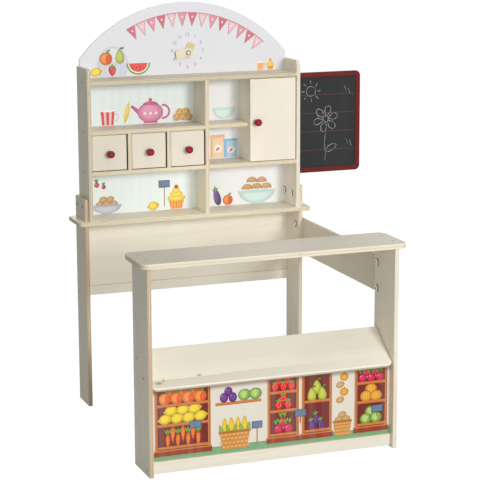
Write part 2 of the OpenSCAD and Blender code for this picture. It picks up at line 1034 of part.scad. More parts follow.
module slate_board(grow) {
    lap = frame_w - slate_lap - grow;
    mid = shelf_y1 + frame_t/2;
    board([panel_in + lap, mid - slate_t/2 - grow, slate_z + lap],
        [slate_x1 - lap, mid + slate_t/2 + grow, slate_z + slate_h - lap]);
}

module slate() {
    color(slate_grey)
        place()
            slate_board(0);
}

module slate_screws() {
    color(steel)
        place()
            each_at(slate_screw_at)
                wood_screw();
}

left_leg();
right_leg();
rear_counter();
apron_panel();
apron_rail();
apron_screws();
connector_bolts();
connector_inserts();
left_side_panel();
right_side_panel();
top_board();
centre_divider();
drawer_top_shelf();
drawer_bottom_shelf();
drawer_divider(1);  // drawer_divider_left
drawer_divider(2);  // drawer_divider_right
cubby_divider();
cubby_shelf();
cupboard_floor();
back_wall();
shelf_screws();
shelf_dowels();
hour_hand();
minute_hand();
clock_pivot();
clock_nut();
cupboard_door();
door_knob();
door_knob_screw();
door_pins();
drawer_front(0);  // drawer_left_front
drawer_sides(0);  // drawer_left_sides
drawer_back(0);  // drawer_left_back
drawer_bottom(0);  // drawer_left_bottom
drawer_knob(0);  // drawer_left_knob
drawer_knob_screw(0);  // drawer_left_knob_screw
drawer_front(1);  // drawer_middle_front
drawer_sides(1);  // drawer_middle_sides
drawer_back(1);  // drawer_middle_back
drawer_bottom(1);  // drawer_middle_bottom
drawer_knob(1);  // drawer_middle_knob
drawer_knob_screw(1);  // drawer_middle_knob_screw
drawer_front(2);  // drawer_right_front
drawer_sides(2);  // drawer_right_sides
drawer_back(2);  // drawer_right_back
drawer_bottom(2);  // drawer_right_bottom
drawer_knob(2);  // drawer_right_knob
drawer_knob_screw(2);  // drawer_right_knob_screw
counter_top();
counter_left_upright();
counter_right_upright();
display_shelf();
front_panel();
plinth_board();
counter_screws();
side_rail();
slate_frame();
slate();
slate_screws();
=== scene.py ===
# %% [markdown]
# # A toy market stall, dressed in Blender
#
# The stall is built from flat birch boards, so most of its look comes from three things: softened edges
# that catch a thin line of light, the veneer's grain, and the stripes of the plywood's layers on every
# edge. The CAD model gives each board's true size and place. Here each board is modelled again over its
# CAD node, with soft edges, and the small fittings keep their CAD shape and get a material.

# %% Load the CAD frame
import bpy
import json
import math
import random
from mathutils import Euler, Matrix, Vector


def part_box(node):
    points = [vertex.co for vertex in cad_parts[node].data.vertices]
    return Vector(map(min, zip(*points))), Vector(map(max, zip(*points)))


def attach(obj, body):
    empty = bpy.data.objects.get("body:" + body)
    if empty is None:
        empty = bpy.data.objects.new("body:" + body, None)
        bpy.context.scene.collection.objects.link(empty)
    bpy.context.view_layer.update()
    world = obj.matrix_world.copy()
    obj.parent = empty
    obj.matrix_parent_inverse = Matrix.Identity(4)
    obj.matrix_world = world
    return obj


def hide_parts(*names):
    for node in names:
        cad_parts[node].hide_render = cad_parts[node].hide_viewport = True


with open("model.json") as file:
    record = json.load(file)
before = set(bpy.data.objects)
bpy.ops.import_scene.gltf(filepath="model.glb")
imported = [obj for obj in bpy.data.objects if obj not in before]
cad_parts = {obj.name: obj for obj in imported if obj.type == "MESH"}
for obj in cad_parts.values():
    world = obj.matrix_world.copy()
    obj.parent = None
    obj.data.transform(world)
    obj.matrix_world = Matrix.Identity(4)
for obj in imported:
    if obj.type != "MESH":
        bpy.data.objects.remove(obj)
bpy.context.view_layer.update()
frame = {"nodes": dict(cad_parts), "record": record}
node_body = {n: b for b, names in frame["record"]["behaviour"]["bodies"].items() for n in names}
node_slot = {s["node"]: s["material_slot"] for s in frame["record"]["subparts"]}

# %% [markdown]
# ## Camera
#
# The camera stands to the left of the stall, a little above the sign, and looks down with a long lens, so
# that upright boards stay nearly upright. Its place was worked out from the corners of the boards in the
# photograph. A small roll is turned in last, about the lens's own axis.

# %% Place the camera
LOOK_DOWN, LOOK_RIGHT, ROLL = 11.70, 20.46, 0.22
bpy.ops.object.camera_add(location=(-1.5295, -3.9544, 1.3266))
camera = bpy.context.object
camera.name = "photo_camera"
turn = Euler((math.radians(90 - LOOK_DOWN), 0, math.radians(-LOOK_RIGHT))).to_matrix()
camera.rotation_euler = (turn @ Matrix.Rotation(math.radians(-ROLL), 3, "Z")).to_euler()
camera.data.sensor_width = 36
camera.data.lens = 134.56
bpy.context.scene.camera = camera
print("lens:", camera.data.lens)

# %% [markdown]
# ## Light
#
# The photograph has soft light from the front, a little from the right: fronts are brightest, upper faces
# are a shade greyer, and faces that look left are the darkest. A key lamp far off, a little to the right,
# gives that direction. A weak one at the front softens its shadows, a wide one above lights the counters,
# one behind lights the back, and a small one in the aisle lights the rear table behind the front counter.

# %% Lamps
def add_lamp(name, place, target, size, power):
    bpy.ops.object.light_add(type="AREA", location=place)
    lamp = bpy.context.object
    lamp.name = name
    lamp.data.shape = "DISK"
    lamp.data.size = size
    lamp.data.energy = power
    lamp.rotation_euler = (Vector(target) - Vector(place)).to_track_quat("-Z", "Y").to_euler()
    return lamp

MIDDLE = (0, 0, 0.5)
add_lamp("key_lamp", (1.65, -7.33, 2.37), MIDDLE, 2.1, 287)
add_lamp("front_lamp", (-0.40, -2.4, 1.05), MIDDLE, 1.0, 11)
add_lamp("top_lamp", (0, -0.4, 3.6), MIDDLE, 2.6, 29)
add_lamp("rear_lamp", (0.3, 3.6, 0.9), MIDDLE, 1.6, 24)
aisle_lamp = add_lamp("aisle_lamp", (-0.27, -0.06, 0.54), (0.19, 0.28, 0.45), 0.36, 0.165)
aisle_lamp.data.spread = math.radians(95)
aisle_lamp.visible_camera = False

# %% [markdown]
# The world fills the shadows with a weak light, and it and the floor show plain white to the camera. Both
# are made of two shaders, and the kind of ray decides between them.

# %% World and floor
def calc(tree, operation, a, b=0):
    """A Math node. Each value is a number or a socket."""
    node = tree.nodes.new("ShaderNodeMath")
    node.operation = operation
    for socket, value in zip(node.inputs, (a, b)):
        if isinstance(value, (int, float)):
            socket.default_value = value
        else:
            tree.links.new(value, socket)
    return node.outputs[0]

def seen_by(tree, *rays):
    """A mask that is 1 for these kinds of ray and 0 for all others."""
    path = tree.nodes.new("ShaderNodeLightPath")
    mask = path.outputs[rays[0]]
    for ray in rays[1:]:
        mask = calc(tree, "MAXIMUM", mask, path.outputs[ray])
    return mask

def two_shaders(owner, mask, plain, shown, output):
    """Shows the plain shader where the mask is 0 and the other one where it is 1."""
    tree = owner.node_tree
    mix = tree.nodes.new("ShaderNodeMixShader")
    for socket, source in zip(mix.inputs, (mask, plain.outputs[0], shown.outputs[0])):
        tree.links.new(source, socket)
    tree.links.new(mix.outputs[0], tree.nodes.new(output).inputs["Surface"])

def emptied(owner):
    """The node tree of a world or a material, with nothing in it."""
    owner.use_nodes = True
    owner.node_tree.nodes.clear()
    return owner.node_tree

world = bpy.data.worlds.new("white_studio")
bpy.context.scene.world = world
tree = emptied(world)
fill = tree.nodes.new("ShaderNodeBackground")
fill.inputs["Color"].default_value = (0.985, 1, 0.88, 1)
fill.inputs["Strength"].default_value = 0.235
white = tree.nodes.new("ShaderNodeBackground")
white.inputs["Color"].default_value = (1, 1, 1, 1)
rays = seen_by(tree, "Is Camera Ray", "Is Transmission Ray", "Is Glossy Ray")
two_shaders(world, rays, fill, white, "ShaderNodeOutputWorld")
bpy.context.scene.view_settings.view_transform = "Standard"

bpy.ops.object.select_all(action="DESELECT")
bpy.ops.mesh.primitive_plane_add(size=40, location=(0, 6, -0.0005))
floor = bpy.context.object
floor.name = "studio_floor"
floor_paint = bpy.data.materials.new("studio_white")
tree = emptied(floor_paint)
diffuse = tree.nodes.new("ShaderNodeBsdfDiffuse")
diffuse.inputs["Color"].default_value = (0.5, 0.5, 0.5, 1)
glow = tree.nodes.new("ShaderNodeEmission")
glow.inputs["Strength"].default_value = 1.07
rays = calc(tree, "MULTIPLY", seen_by(tree, "Is Camera Ray", "Is Glossy Ray"), 0.94)
two_shaders(floor_paint, rays, diffuse, glow, "ShaderNodeOutputMaterial")
floor.data.materials.append(floor_paint)
print("world fill strength:", fill.inputs["Strength"].default_value)

# %% [markdown]
# ## Birch plywood
#
# Birch veneer is pale and quiet: long faint streaks along the grain, fine pores, and a slow change of tone.
# The grain is drawn on a UV map whose first direction runs along each board's length, in metres, so the
# streaks keep their real size on a long counter and on a short shelf alike. The edges use the same map,
# with the second direction across the thickness, from 0 to 1, to lay out the layers.

# %% Numbers and patterns in node trees
def times(tree, a, b):
    return calc(tree, "MULTIPLY", a, b)

def plus(tree, a, b):
    return calc(tree, "ADD", a, b)

def minus(tree, a, b):
    return calc(tree, "SUBTRACT", a, b)

def scaled(tree, value, factor, start):
    return plus(tree, times(tree, value, factor), start)

def axes_of(tree, vector):
    """The X, Y and Z of a place, as three sockets by name."""
    split = tree.nodes.new("ShaderNodeSeparateXYZ")
    tree.links.new(vector, split.inputs["Vector"])
    return split.outputs

def stretched_noise(tree, vector, along, across, detail, roughness=0.55, distortion=0.0):
    """Noise that is drawn out along the grain: features are 1/along and 1/across metres long."""
    mapping = tree.nodes.new("ShaderNodeMapping")
    mapping.inputs["Scale"].default_value = (along, across, 1)
    noise = tree.nodes.new("ShaderNodeTexNoise")
    noise.inputs["Scale"].default_value = 1
    noise.inputs["Detail"].default_value = detail
    noise.inputs["Roughness"].default_value = roughness
    noise.inputs["Distortion"].default_value = distortion
    tree.links.new(vector, mapping.inputs["Vector"])
    tree.links.new(mapping.outputs["Vector"], noise.inputs["Vector"])
    return noise.outputs["Fac"]

def step_between(tree, value, low, high):
    """0 at low, 1 at high, smooth in between. Low may be the larger of the two."""
    node = tree.nodes.new("ShaderNodeMapRange")
    node.interpolation_type = "SMOOTHSTEP"
    node.inputs["From Min"].default_value = low
    node.inputs["From Max"].default_value = high
    tree.links.new(value, node.inputs["Value"])
    return node.outputs["Result"]

print("number helpers ready")

# %% Colours and groups in node trees
def srgb(r, g, b):
    """A colour picked on a screen, as the linear numbers that a shader works with."""
    shares = (r / 255, g / 255, b / 255)
    return tuple(c / 12.92 if c <= 0.04045 else ((c + 0.055) / 1.055) ** 2.4 for c in shares)

def as_value(value):
    """What a socket takes: a number as it is, a colour with its alpha."""
    return (*srgb(*value), 1) if isinstance(value, tuple) else value

def blend_colour(tree, mask, a, b):
    """Colour a where mask is 0 and b where it is 1. Each colour is a socket or picked on a screen."""
    node = tree.nodes.new("ShaderNodeMix")
    node.data_type = "RGBA"
    tree.links.new(mask, node.inputs["Factor"])
    for socket, value in ((node.inputs[6], a), (node.inputs[7], b)):
        if isinstance(value, tuple):
            socket.default_value = as_value(value)
        else:
            tree.links.new(value, socket)
    return node.outputs[2]

def stain(tree, tone, pattern, low, high, share, colour):
    """Blends a share of a colour into a tone, where the pattern goes from low to high."""
    return blend_colour(tree, times(tree, step_between(tree, pattern, low, high), share), tone, colour)

def new_group(name, outputs, **inputs):
    """A shader node group with a Vector input and one for each value, and its two ends' sockets."""
    tree = bpy.data.node_groups.new(name, "ShaderNodeTree")
    tree.interface.new_socket("Vector", in_out="INPUT", socket_type="NodeSocketVector")
    for socket, value in inputs.items():
        kind = "NodeSocketColor" if isinstance(value, tuple) else "NodeSocketFloat"
        tree.interface.new_socket(socket, in_out="INPUT", socket_type=kind).default_value = as_value(value)
    for socket in outputs:
        kind = "NodeSocketColor" if socket == "Color" else "NodeSocketFloat"
        tree.interface.new_socket(socket, in_out="OUTPUT", socket_type=kind)
    return tree, tree.nodes.new("NodeGroupInput").outputs, tree.nodes.new("NodeGroupOutput").inputs

print("white as a socket value:", as_value((255, 255, 255)))

# %% The veneer as a node group
veneer, g_in, g_out = new_group("birch_veneer", ("Color", "Roughness", "Height"),
                                Pale=(240, 232, 212), Streak=(214, 198, 166), Grain=1.0)
place, grain = g_in["Vector"], g_in["Grain"]
broad = stretched_noise(veneer, place, 2.2, 42, 4, 0.6, 0.6)
fine = stretched_noise(veneer, place, 16, 520, 3)
cloud = stretched_noise(veneer, place, 3, 7, 2)
pores = stretched_noise(veneer, place, 60, 900, 2)
tone = stain(veneer, g_in["Pale"], broad, 0.42, 0.78, times(veneer, grain, 0.6), g_in["Streak"])
tone = stain(veneer, tone, fine, 0.5, 0.75, times(veneer, grain, 0.22), (205, 190, 160))
tone = stain(veneer, tone, cloud, 0.42, 0.7, 0.35, (228, 221, 205))
tone = stain(veneer, tone, pores, 0.68, 0.76, times(veneer, grain, 0.35), (190, 168, 132))
veneer.links.new(tone, g_out["Color"])
veneer.links.new(scaled(veneer, fine, 0.25, 0.40), g_out["Roughness"])
veneer.links.new(scaled(veneer, broad, 0.5, fine), g_out["Height"])
print("veneer nodes:", len(veneer.nodes))

# %% Materials from groups
def new_material(name, roughness=0.5, coat=0.0):
    """An empty Principled material; returns the material, its tree and its shader."""
    material = bpy.data.materials.new(name)
    material.use_nodes = True
    shader = material.node_tree.nodes["Principled BSDF"]
    shader.inputs["Roughness"].default_value = roughness
    shader.inputs["Coat Weight"].default_value = coat
    shader.inputs["Coat Roughness"].default_value = 0.3
    return material, material.node_tree, shader

def grain_uv(tree):
    node = tree.nodes.new("ShaderNodeUVMap")
    node.uv_map = "grain"
    return node.outputs["UV"]

def object_place(tree):
    return tree.nodes.new("ShaderNodeTexCoord").outputs["Object"]

def add_bump(tree, shader, height, strength, distance):
    bump = tree.nodes.new("ShaderNodeBump")
    bump.inputs["Strength"].default_value = strength
    bump.inputs["Distance"].default_value = distance
    tree.links.new(height, bump.inputs["Height"])
    tree.links.new(bump.outputs["Normal"], shader.inputs["Normal"])

def group_material(name, group, vector, bump=None, coat=0.0, **inputs):
    """A material that gets its colour and roughness, and a bump if one is given, from a group.
    Each input is a number, a colour, or a function that makes nodes and returns their socket."""
    material, tree, shader = new_material(name, coat=coat)
    node = tree.nodes.new("ShaderNodeGroup")
    node.node_tree = group
    tree.links.new(vector(tree), node.inputs["Vector"])
    for socket, value in inputs.items():
        if callable(value):
            tree.links.new(value(tree), node.inputs[socket])
        else:
            node.inputs[socket].default_value = as_value(value)
    tree.links.new(node.outputs["Color"], shader.inputs["Base Color"])
    tree.links.new(node.outputs["Roughness"], shader.inputs["Roughness"])
    if bump:
        add_bump(tree, shader, node.outputs["Height"], *bump)
    return material

def tint_over(material, mask, colour):
    """Blends one more colour into what already feeds the material's base colour."""
    tree = material.node_tree
    socket = tree.nodes["Principled BSDF"].inputs["Base Color"]
    tree.links.new(blend_colour(tree, mask, socket.links[0].from_socket, colour), socket)

def veneer_material(name, pale, streak, grain):
    return group_material(name, veneer, grain_uv, (0.25, 0.0004), 0.08, Pale=pale, Streak=streak, Grain=grain)

birch_face = veneer_material("birch_face", (240, 233, 217), (222, 211, 188), 0.8)
birch_door = veneer_material("birch_door", (243, 233, 216), (236, 222, 198), 0.45)
birch_drawer = veneer_material("birch_drawer", (227, 218, 202), (217, 204, 182), 0.5)
birch_grey = veneer_material("birch_counter", (228, 222, 208), (208, 200, 183), 0.6)
birch_pale = veneer_material("birch_pale", (247, 240, 224), (230, 218, 194), 0.7)
birch_dull = veneer_material("birch_dull", (222, 213, 194), (206, 194, 170), 0.7)
birch_top = veneer_material("birch_top_board", (193, 185, 165), (178, 167, 144), 0.7)
print("veneers:", [m.name for m in bpy.data.materials if m.name.startswith("birch")])

# %% [markdown]
# The edge of a plywood board shows its layers: pale long-grain plies between darker end-grain plies, with a
# dark glue line at each change and now and then a small gap in a core ply.

# %% The plywood edge as a node group
plies, g_in, g_out = new_group("plywood_edge", ("Color", "Roughness", "Height"),
                               Tint=(255, 255, 255), Patches=0.5, Wash=0.0)
place = g_in["Vector"]
wobble = stretched_noise(plies, place, 9, 0.5, 2)
across = plus(plies, axes_of(plies, place)["Y"], times(plies, minus(plies, wobble, 0.5), 0.06))
PALE_PLY, END_PLY, GLUE = (219, 207, 182), (200, 179, 149), (150, 122, 92)
half = [(0.0, PALE_PLY), (0.15, PALE_PLY), (0.19, GLUE), (0.23, END_PLY), (0.36, END_PLY), (0.40, PALE_PLY)]
stops = half + [(1 - at, colour) for at, colour in reversed(half)]
layers = plies.nodes.new("ShaderNodeValToRGB")
ramp = layers.color_ramp
ramp.interpolation = "EASE"
for at, colour in stops[1:-1]:
    ramp.elements.new(at)
for element, (at, colour) in zip(ramp.elements, stops):
    element.position = at
    element.color = as_value(colour)
plies.links.new(across, layers.inputs["Fac"])
end_grain = stretched_noise(plies, place, 420, 5, 3)
tone = stain(plies, layers.outputs["Color"], end_grain, 0.5, 0.75, 0.3, (200, 176, 142))
patch = stretched_noise(plies, place, 5, 0.8, 3)
stained = scaled(plies, step_between(plies, patch, 0.35, 0.65), g_in["Patches"], g_in["Wash"])
tone = blend_colour(plies, stained, tone, g_in["Tint"])
gaps = stretched_noise(plies, place, 26, 3.5, 2)
tone = stain(plies, tone, gaps, 0.67, 0.72, 0.6, (150, 110, 72))
plies.links.new(tone, g_out["Color"])
plies.links.new(scaled(plies, end_grain, 0.2, 0.5), g_out["Roughness"])
plies.links.new(end_grain, g_out["Height"])

def edge_material(name, tint, patches, wash):
    return group_material(name, plies, grain_uv, (0.3, 0.0003), Tint=tint, Patches=patches, Wash=wash)

birch_edge = edge_material("birch_edge", (214, 203, 178), 0.45, 0.0)
warm_edge = edge_material("birch_edge_warm", (198, 164, 134), 0.6, 0.1)
pale_edge = edge_material("birch_edge_pale", (246, 238, 218), 0.25, 0.6)
cream_edge = edge_material("birch_edge_cream", (238, 224, 194), 0.35, 0.3)
peach_edge = edge_material("birch_edge_peach", (236, 217, 187), 0.5, 0.25)
print("ply layers:", len(ramp.elements))

# %% [markdown]
# ## Boards
#
# A board starts as a cube of the CAD node's size. Corners that are rounded on the real board are bevelled
# first, with their true radius. Then a Bevel modifier takes the sharpness off every edge, as sanding does.
# Holes and slots are cut last, so that they stay crisp. The finished board gets its grain map and its two
# materials, and then takes its CAD node's place.

# %% Modelling helpers
SANDED = 0.0009

def pick_only(obj):
    """Leaves obj alone selected and active, so that an operator acts on nothing else."""
    bpy.ops.object.select_all(action="DESELECT")
    obj.select_set(True)
    bpy.context.view_layer.objects.active = obj

def block(name, lo, hi):
    """A cube from one corner to the other, with its place in its mesh."""
    lo, hi = Vector(lo), Vector(hi)
    bpy.ops.object.select_all(action="DESELECT")
    bpy.ops.mesh.primitive_cube_add(size=1, location=(lo + hi) / 2)
    obj = bpy.context.object
    obj.name = name
    obj.scale = hi - lo
    bpy.ops.object.transform_apply(location=True, rotation=True, scale=True)
    return obj

def pick_edges(obj, choose):
    """Selects the edges that choose(middle, direction) picks and stays in edit mode; says how many."""
    pick_only(obj)
    bpy.ops.object.mode_set(mode="EDIT")
    bpy.ops.mesh.select_mode(type="EDGE")
    bpy.ops.mesh.select_all(action="DESELECT")
    bpy.ops.object.mode_set(mode="OBJECT")
    points = obj.data.vertices
    count = 0
    for edge in obj.data.edges:
        a, b = (points[i].co for i in edge.vertices)
        edge.select = choose((a + b) / 2, (b - a).normalized())
        count += edge.select
    bpy.ops.object.mode_set(mode="EDIT")
    return count

def round_edges(obj, choose, radius, segments=10):
    """Bevels the edges that choose(middle, direction) picks."""
    count = pick_edges(obj, choose)
    bpy.ops.mesh.bevel(offset=radius, segments=segments, affect="EDGES")
    bpy.ops.object.mode_set(mode="OBJECT")
    return count

def use_modifier(obj, kind, **settings):
    """Adds a modifier, sets it and applies it."""
    pick_only(obj)
    modifier = obj.modifiers.new(kind.lower(), kind)
    for key, value in settings.items():
        setattr(modifier, key, value)
    bpy.ops.object.modifier_apply(modifier=modifier.name)

def smooth(obj, degrees=40):
    pick_only(obj)
    bpy.ops.object.shade_smooth_by_angle(angle=math.radians(degrees))

def soften(obj, width=SANDED, segments=3):
    """Takes the sharpness off every edge."""
    limit = math.radians(35)
    use_modifier(obj, "BEVEL", width=width, segments=segments, limit_method="ANGLE", angle_limit=limit)
    smooth(obj)

print("modelling helpers ready")

# %% Cutting, joining and copying
def cut_away(obj, cutter):
    """Cuts the cutter's shape out of obj and throws the cutter away."""
    use_modifier(obj, "BOOLEAN", operation="DIFFERENCE", solver="EXACT", object=cutter)
    bpy.data.objects.remove(cutter)

def drill(obj, place, axis, radius, depth=0.02):
    """A round hole of that depth to both sides of place, along axis x or y."""
    turn = {"x": (0, math.pi / 2, 0), "y": (math.pi / 2, 0, 0)}[axis]
    bpy.ops.object.select_all(action="DESELECT")
    bpy.ops.mesh.primitive_cylinder_add(
        vertices=32, radius=radius, depth=2 * depth, location=place, rotation=turn)
    cut_away(obj, bpy.context.object)

def joined(pieces):
    """Joins all pieces into the first one."""
    pick_only(pieces[0])
    for piece in pieces[1:]:
        piece.select_set(True)
    bpy.ops.object.join()
    return pieces[0]

def copy_of(source, name, place):
    """A copy with a mesh of its own, moved by the matrix place."""
    copy = bpy.data.objects.new(name, source.data.copy())
    bpy.context.scene.collection.objects.link(copy)
    copy.data.transform(place)
    return copy

def dress(obj, *materials):
    """Gives obj these materials and no others."""
    obj.data.materials.clear()
    for material in materials:
        obj.data.materials.append(material)

print("workshop helpers ready")

# %% Grain maps and boards
random.seed(7)
AXES = {"x": Vector((1, 0, 0)), "y": Vector((0, 1, 0)), "z": Vector((0, 0, 1))}

def flat_normals(obj):
    """Keeps large faces flat in the shading, so that only the softened edges look round."""
    smooth(obj)
    use_modifier(obj, "WEIGHTED_NORMAL", keep_sharp=True)

def lay_grain(obj, thick, along, face_look=None, edge_look=None):
    """Lays the grain map: faces across the thickness are veneer, all others are edge.
    thick and along name the axes across the board and along its grain."""
    flat_normals(obj)
    dress(obj, face_look or birch_face, edge_look or birch_edge)
    thick, along = AXES[thick], AXES[along]
    aside = thick.cross(along)
    mesh = obj.data
    while mesh.uv_layers:
        mesh.uv_layers.remove(mesh.uv_layers[0])
    uv = mesh.uv_layers.new(name="grain").data
    levels = [v.co.dot(thick) for v in mesh.vertices]
    low, depth = min(levels), max(levels) - min(levels)
    shift = Vector((random.uniform(-9, 9), random.uniform(-9, 9)))
    for face in mesh.polygons:
        is_face = abs(face.normal.dot(thick)) > 0.75
        face.material_index = 0 if is_face else 1
        run = along if abs(face.normal.dot(aside)) > abs(face.normal.dot(along)) else aside
        for loop in face.loop_indices:
            p = mesh.vertices[mesh.loops[loop].vertex_index].co
            if is_face:
                uv[loop].uv = (p.dot(along) + shift.x, p.dot(aside) + shift.y)
            else:
                uv[loop].uv = (p.dot(run) + shift.x, (p.dot(thick) - low) / depth)

def seat(obj, node):
    """The piece takes the place of its CAD node and rides on that node's body."""
    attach(obj, node_body[node])
    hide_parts(node)
    return obj

def make_board(node, thick, along, rounded=None, face=None, soft=SANDED, cuts=(), edge=None):
    """A softened board over its CAD node. rounded is (choose, radius), cuts are boxes to take away."""
    lo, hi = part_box(node)
    obj = block(node + "_board", lo, hi)
    if rounded:
        round_edges(obj, *rounded)
    soften(obj, soft)
    for cut_lo, cut_hi in cuts:
        cut_away(obj, block("cutter", cut_lo, cut_hi))
    lay_grain(obj, thick, along, face, edge)
    return seat(obj, node)

print("board maker ready")

# %% [markdown]
# ### Rear table
#
# Two leg boards pass up through slots in the counter. The counter's corners are rounded as seen from above.

# %% Legs and rear counter
GAP = 0.0001
upright_edge = lambda middle, direction: abs(direction.z) > 0.9

def grown(node):
    """A CAD node's box, larger by a small gap all round."""
    lo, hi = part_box(node)
    by = Vector((GAP, GAP, GAP))
    return lo - by, hi + by

left_leg = make_board("left_leg", "x", "z", edge=warm_edge, face=birch_dull)
right_leg = make_board("right_leg", "x", "z", edge=peach_edge)
rear_counter = make_board("rear_counter", "z", "x", rounded=(upright_edge, 0.012), edge=cream_edge,
                          cuts=[grown("left_leg"), grown("right_leg")])
make_board("apron_panel", "y", "x", soft=0.0004, face=birch_pale)
make_board("apron_rail", "y", "x", cuts=[grown("apron_panel")], face=birch_pale)
print("rear table boards:", len(rear_counter.data.polygons), "faces in the counter")

# %% [markdown]
# The connector bolts end in threaded inserts, which show as small dark holes on the legs' and the rail's
# outer faces. The holes are drilled through, so that the inserts are seen in them.

# %% Drill the insert holes
INSERT_R = 0.0043
APART = 0.03

def loose_boxes(node):
    """The boxes of a CAD node's small solids, each less than 30 mm across and further apart than that."""
    found = []
    for v in frame["nodes"][node].data.vertices:
        for group in found:
            if (group[0] - v.co).length < APART:
                group.append(v.co.copy())
                break
        else:
            found.append([v.co.copy()])
    return [(Vector(map(min, *g)), Vector(map(max, *g))) for g in found]

def drill_inserts(board, node, along, face_look, edge_look=None):
    """Drills the inserts' holes through a board, which then gets a new grain map."""
    lo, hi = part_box(node)
    middles = [(a + b) / 2 for a, b in loose_boxes("connector_inserts")]
    middles = [m for m in middles if lo.x < m.x < hi.x]
    for middle in middles:
        drill(board, middle, "x", INSERT_R)
    lay_grain(board, "x", along, face_look, edge_look)
    return len(middles)

print("left leg holes:", drill_inserts(left_leg, "left_leg", "z", birch_dull, warm_edge))
print("right leg holes:", drill_inserts(right_leg, "right_leg", "z", birch_face, peach_edge))

# %% [markdown]
# ### Shelf unit
#
# Plain boards, apart from the side panels, whose upper front corners are rounded. The mouths of the drawer
# bays are painted dark as shade, which shows as a thin line beside each drawer front.

# %% Drawer bay veneer, with painted shade at the bays' mouths
bay_face = veneer_material("birch_bay_painted_shade", (240, 233, 217), (222, 211, 188), 0.8)
tree = bay_face.node_tree
place = axes_of(tree, object_place(tree))
BAY_FLOOR, BAY_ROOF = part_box("drawer_bottom_shelf")[1].z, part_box("drawer_top_shelf")[0].z
BAY_END, BAY_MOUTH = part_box("centre_divider")[0].x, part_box("drawer_divider_left")[0].y
SOFT = 0.001
painted_gap_shade = step_between(tree, place["Z"], BAY_FLOOR - 2 * SOFT, BAY_FLOOR - SOFT)
for axis, clean, dark in (("Z", BAY_ROOF + SOFT, BAY_ROOF), ("X", BAY_END + 2 * SOFT, BAY_END + SOFT),
                          ("Y", BAY_MOUTH + 0.016, BAY_MOUTH + 0.005)):
    painted_gap_shade = times(tree, painted_gap_shade, step_between(tree, place[axis], clean, dark))
# The dark brown at the bays' mouths is painted shade, where the gaps beside the drawer fronts fall into
# shadow.
tint_over(bay_face, painted_gap_shade, (112, 96, 70))
print("bay height:", round(BAY_ROOF - BAY_FLOOR, 4))

# %% Shelf unit boards
def ear(middle, direction):
    lo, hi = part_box("left_side_panel")
    return abs(direction.x) > 0.9 and middle.z > hi.z - 0.001 and middle.y < lo.y + 0.001

for node, edge in (("left_side_panel", birch_edge), ("right_side_panel", pale_edge)):
    make_board(node, "x", "z", rounded=(ear, 0.012), cuts=[grown("back_wall")], edge=edge)
for node, face, edge in (
        ("top_board", birch_top, birch_edge), ("drawer_top_shelf", birch_grey, cream_edge),
        ("drawer_bottom_shelf", bay_face, cream_edge), ("cubby_shelf", birch_face, cream_edge),
        ("cupboard_floor", birch_grey, cream_edge)):
    make_board(node, "z", "x", face=face, edge=edge)
for node in ("centre_divider", "drawer_divider_left", "drawer_divider_right"):
    make_board(node, "x", "z", edge=cream_edge, face=bay_face)
make_board("cubby_divider", "x", "z", edge=cream_edge)
make_board("cupboard_door", "y", "z", face=birch_door, soft=0.0012, edge=pale_edge)
print("shelf unit boards done")

# %% [markdown]
# ### Drawers
#
# Each drawer is a small box: a thick front, two thin sides, a back between them and a bottom below.

# %% Drawer boards
SIDE_T = 0.005
for side in ("left", "middle", "right"):
    make_board(f"drawer_{side}_front", "y", "z", face=birch_drawer, soft=0.0012, edge=pale_edge)
    make_board(f"drawer_{side}_back", "y", "x", soft=0.0004)
    make_board(f"drawer_{side}_bottom", "z", "y", soft=0.0003)
    node = f"drawer_{side}_sides"
    lo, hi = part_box(node)
    pair = [block(node + "_board", lo, (lo.x + SIDE_T, hi.y, hi.z)),
            block("twin", (hi.x - SIDE_T, lo.y, lo.z), hi)]
    for piece in pair:
        soften(piece, 0.0004)
    both = joined(pair)
    lay_grain(both, "x", "y")
    seat(both, node)
print("drawers done")

# %% [markdown]
# ### Front counter
#
# The counter top has wide round corners, is painted greyer towards its left end as shade, and shows a
# darker core ply along its edge.

# %% Counter top, uprights, plinth and rail
counter_face = veneer_material("birch_counter_shaded_left", (228, 222, 208), (208, 200, 183), 0.6)
tree = counter_face.node_tree
left_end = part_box("counter_top")[0].x
painted_shade_left = step_between(tree, axes_of(tree, object_place(tree))["X"], left_end + 0.30, left_end)
# The grey towards the counter's left end is painted shade.
tint_over(counter_face, times(tree, painted_shade_left, 0.8), (192, 186, 172))
counter_edge = edge_material("birch_edge_counter", (246, 238, 218), 0.25, 0.6)
tree = counter_edge.node_tree
off_core = calc(tree, "ABSOLUTE", minus(tree, axes_of(tree, grain_uv(tree))["Y"], 0.5))
tint_over(counter_edge, times(tree, step_between(tree, off_core, 0.17, 0.05), 0.55), (206, 184, 150))
make_board("counter_top", "z", "x", rounded=(upright_edge, 0.020), face=counter_face, soft=0.0012,
           edge=counter_edge)
make_board("counter_left_upright", "x", "z", edge=warm_edge)
# This upright's veneer is the paler birch: painted light, for the extra light its inner face gets.
make_board("counter_right_upright", "x", "z", edge=pale_edge, face=birch_pale)
make_board("plinth_board", "y", "x", cuts=[grown("front_panel")])
side_rail = make_board("side_rail", "x", "y", face=birch_dull)
print("side rail holes:", drill_inserts(side_rail, "side_rail", "y", birch_dull))

# %% [markdown]
# The display shelf leans forwards: it is modelled flat, its two front corners are rounded, its grain map is
# laid, and only then is it tilted into place. Its veneer has small knots near the left end, and a yellowish
# line of grain runs off from them. The rounded front edge gets a painted highlight above and painted shade
# below.

# %% Display shelf veneer
TILT = math.radians(36)
THICK, SLOPE = 0.012, 0.117
SHELF_LO, SHELF_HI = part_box("display_shelf")
front_top = Vector((0, SHELF_LO.y, SHELF_HI.z - SLOPE * math.sin(TILT)))

def on_shelf(x, slope):
    """A place on the shelf's upper face, that far from its left end and up its slope."""
    return front_top + Vector((SHELF_LO.x + x, slope * math.cos(TILT), slope * math.sin(TILT)))

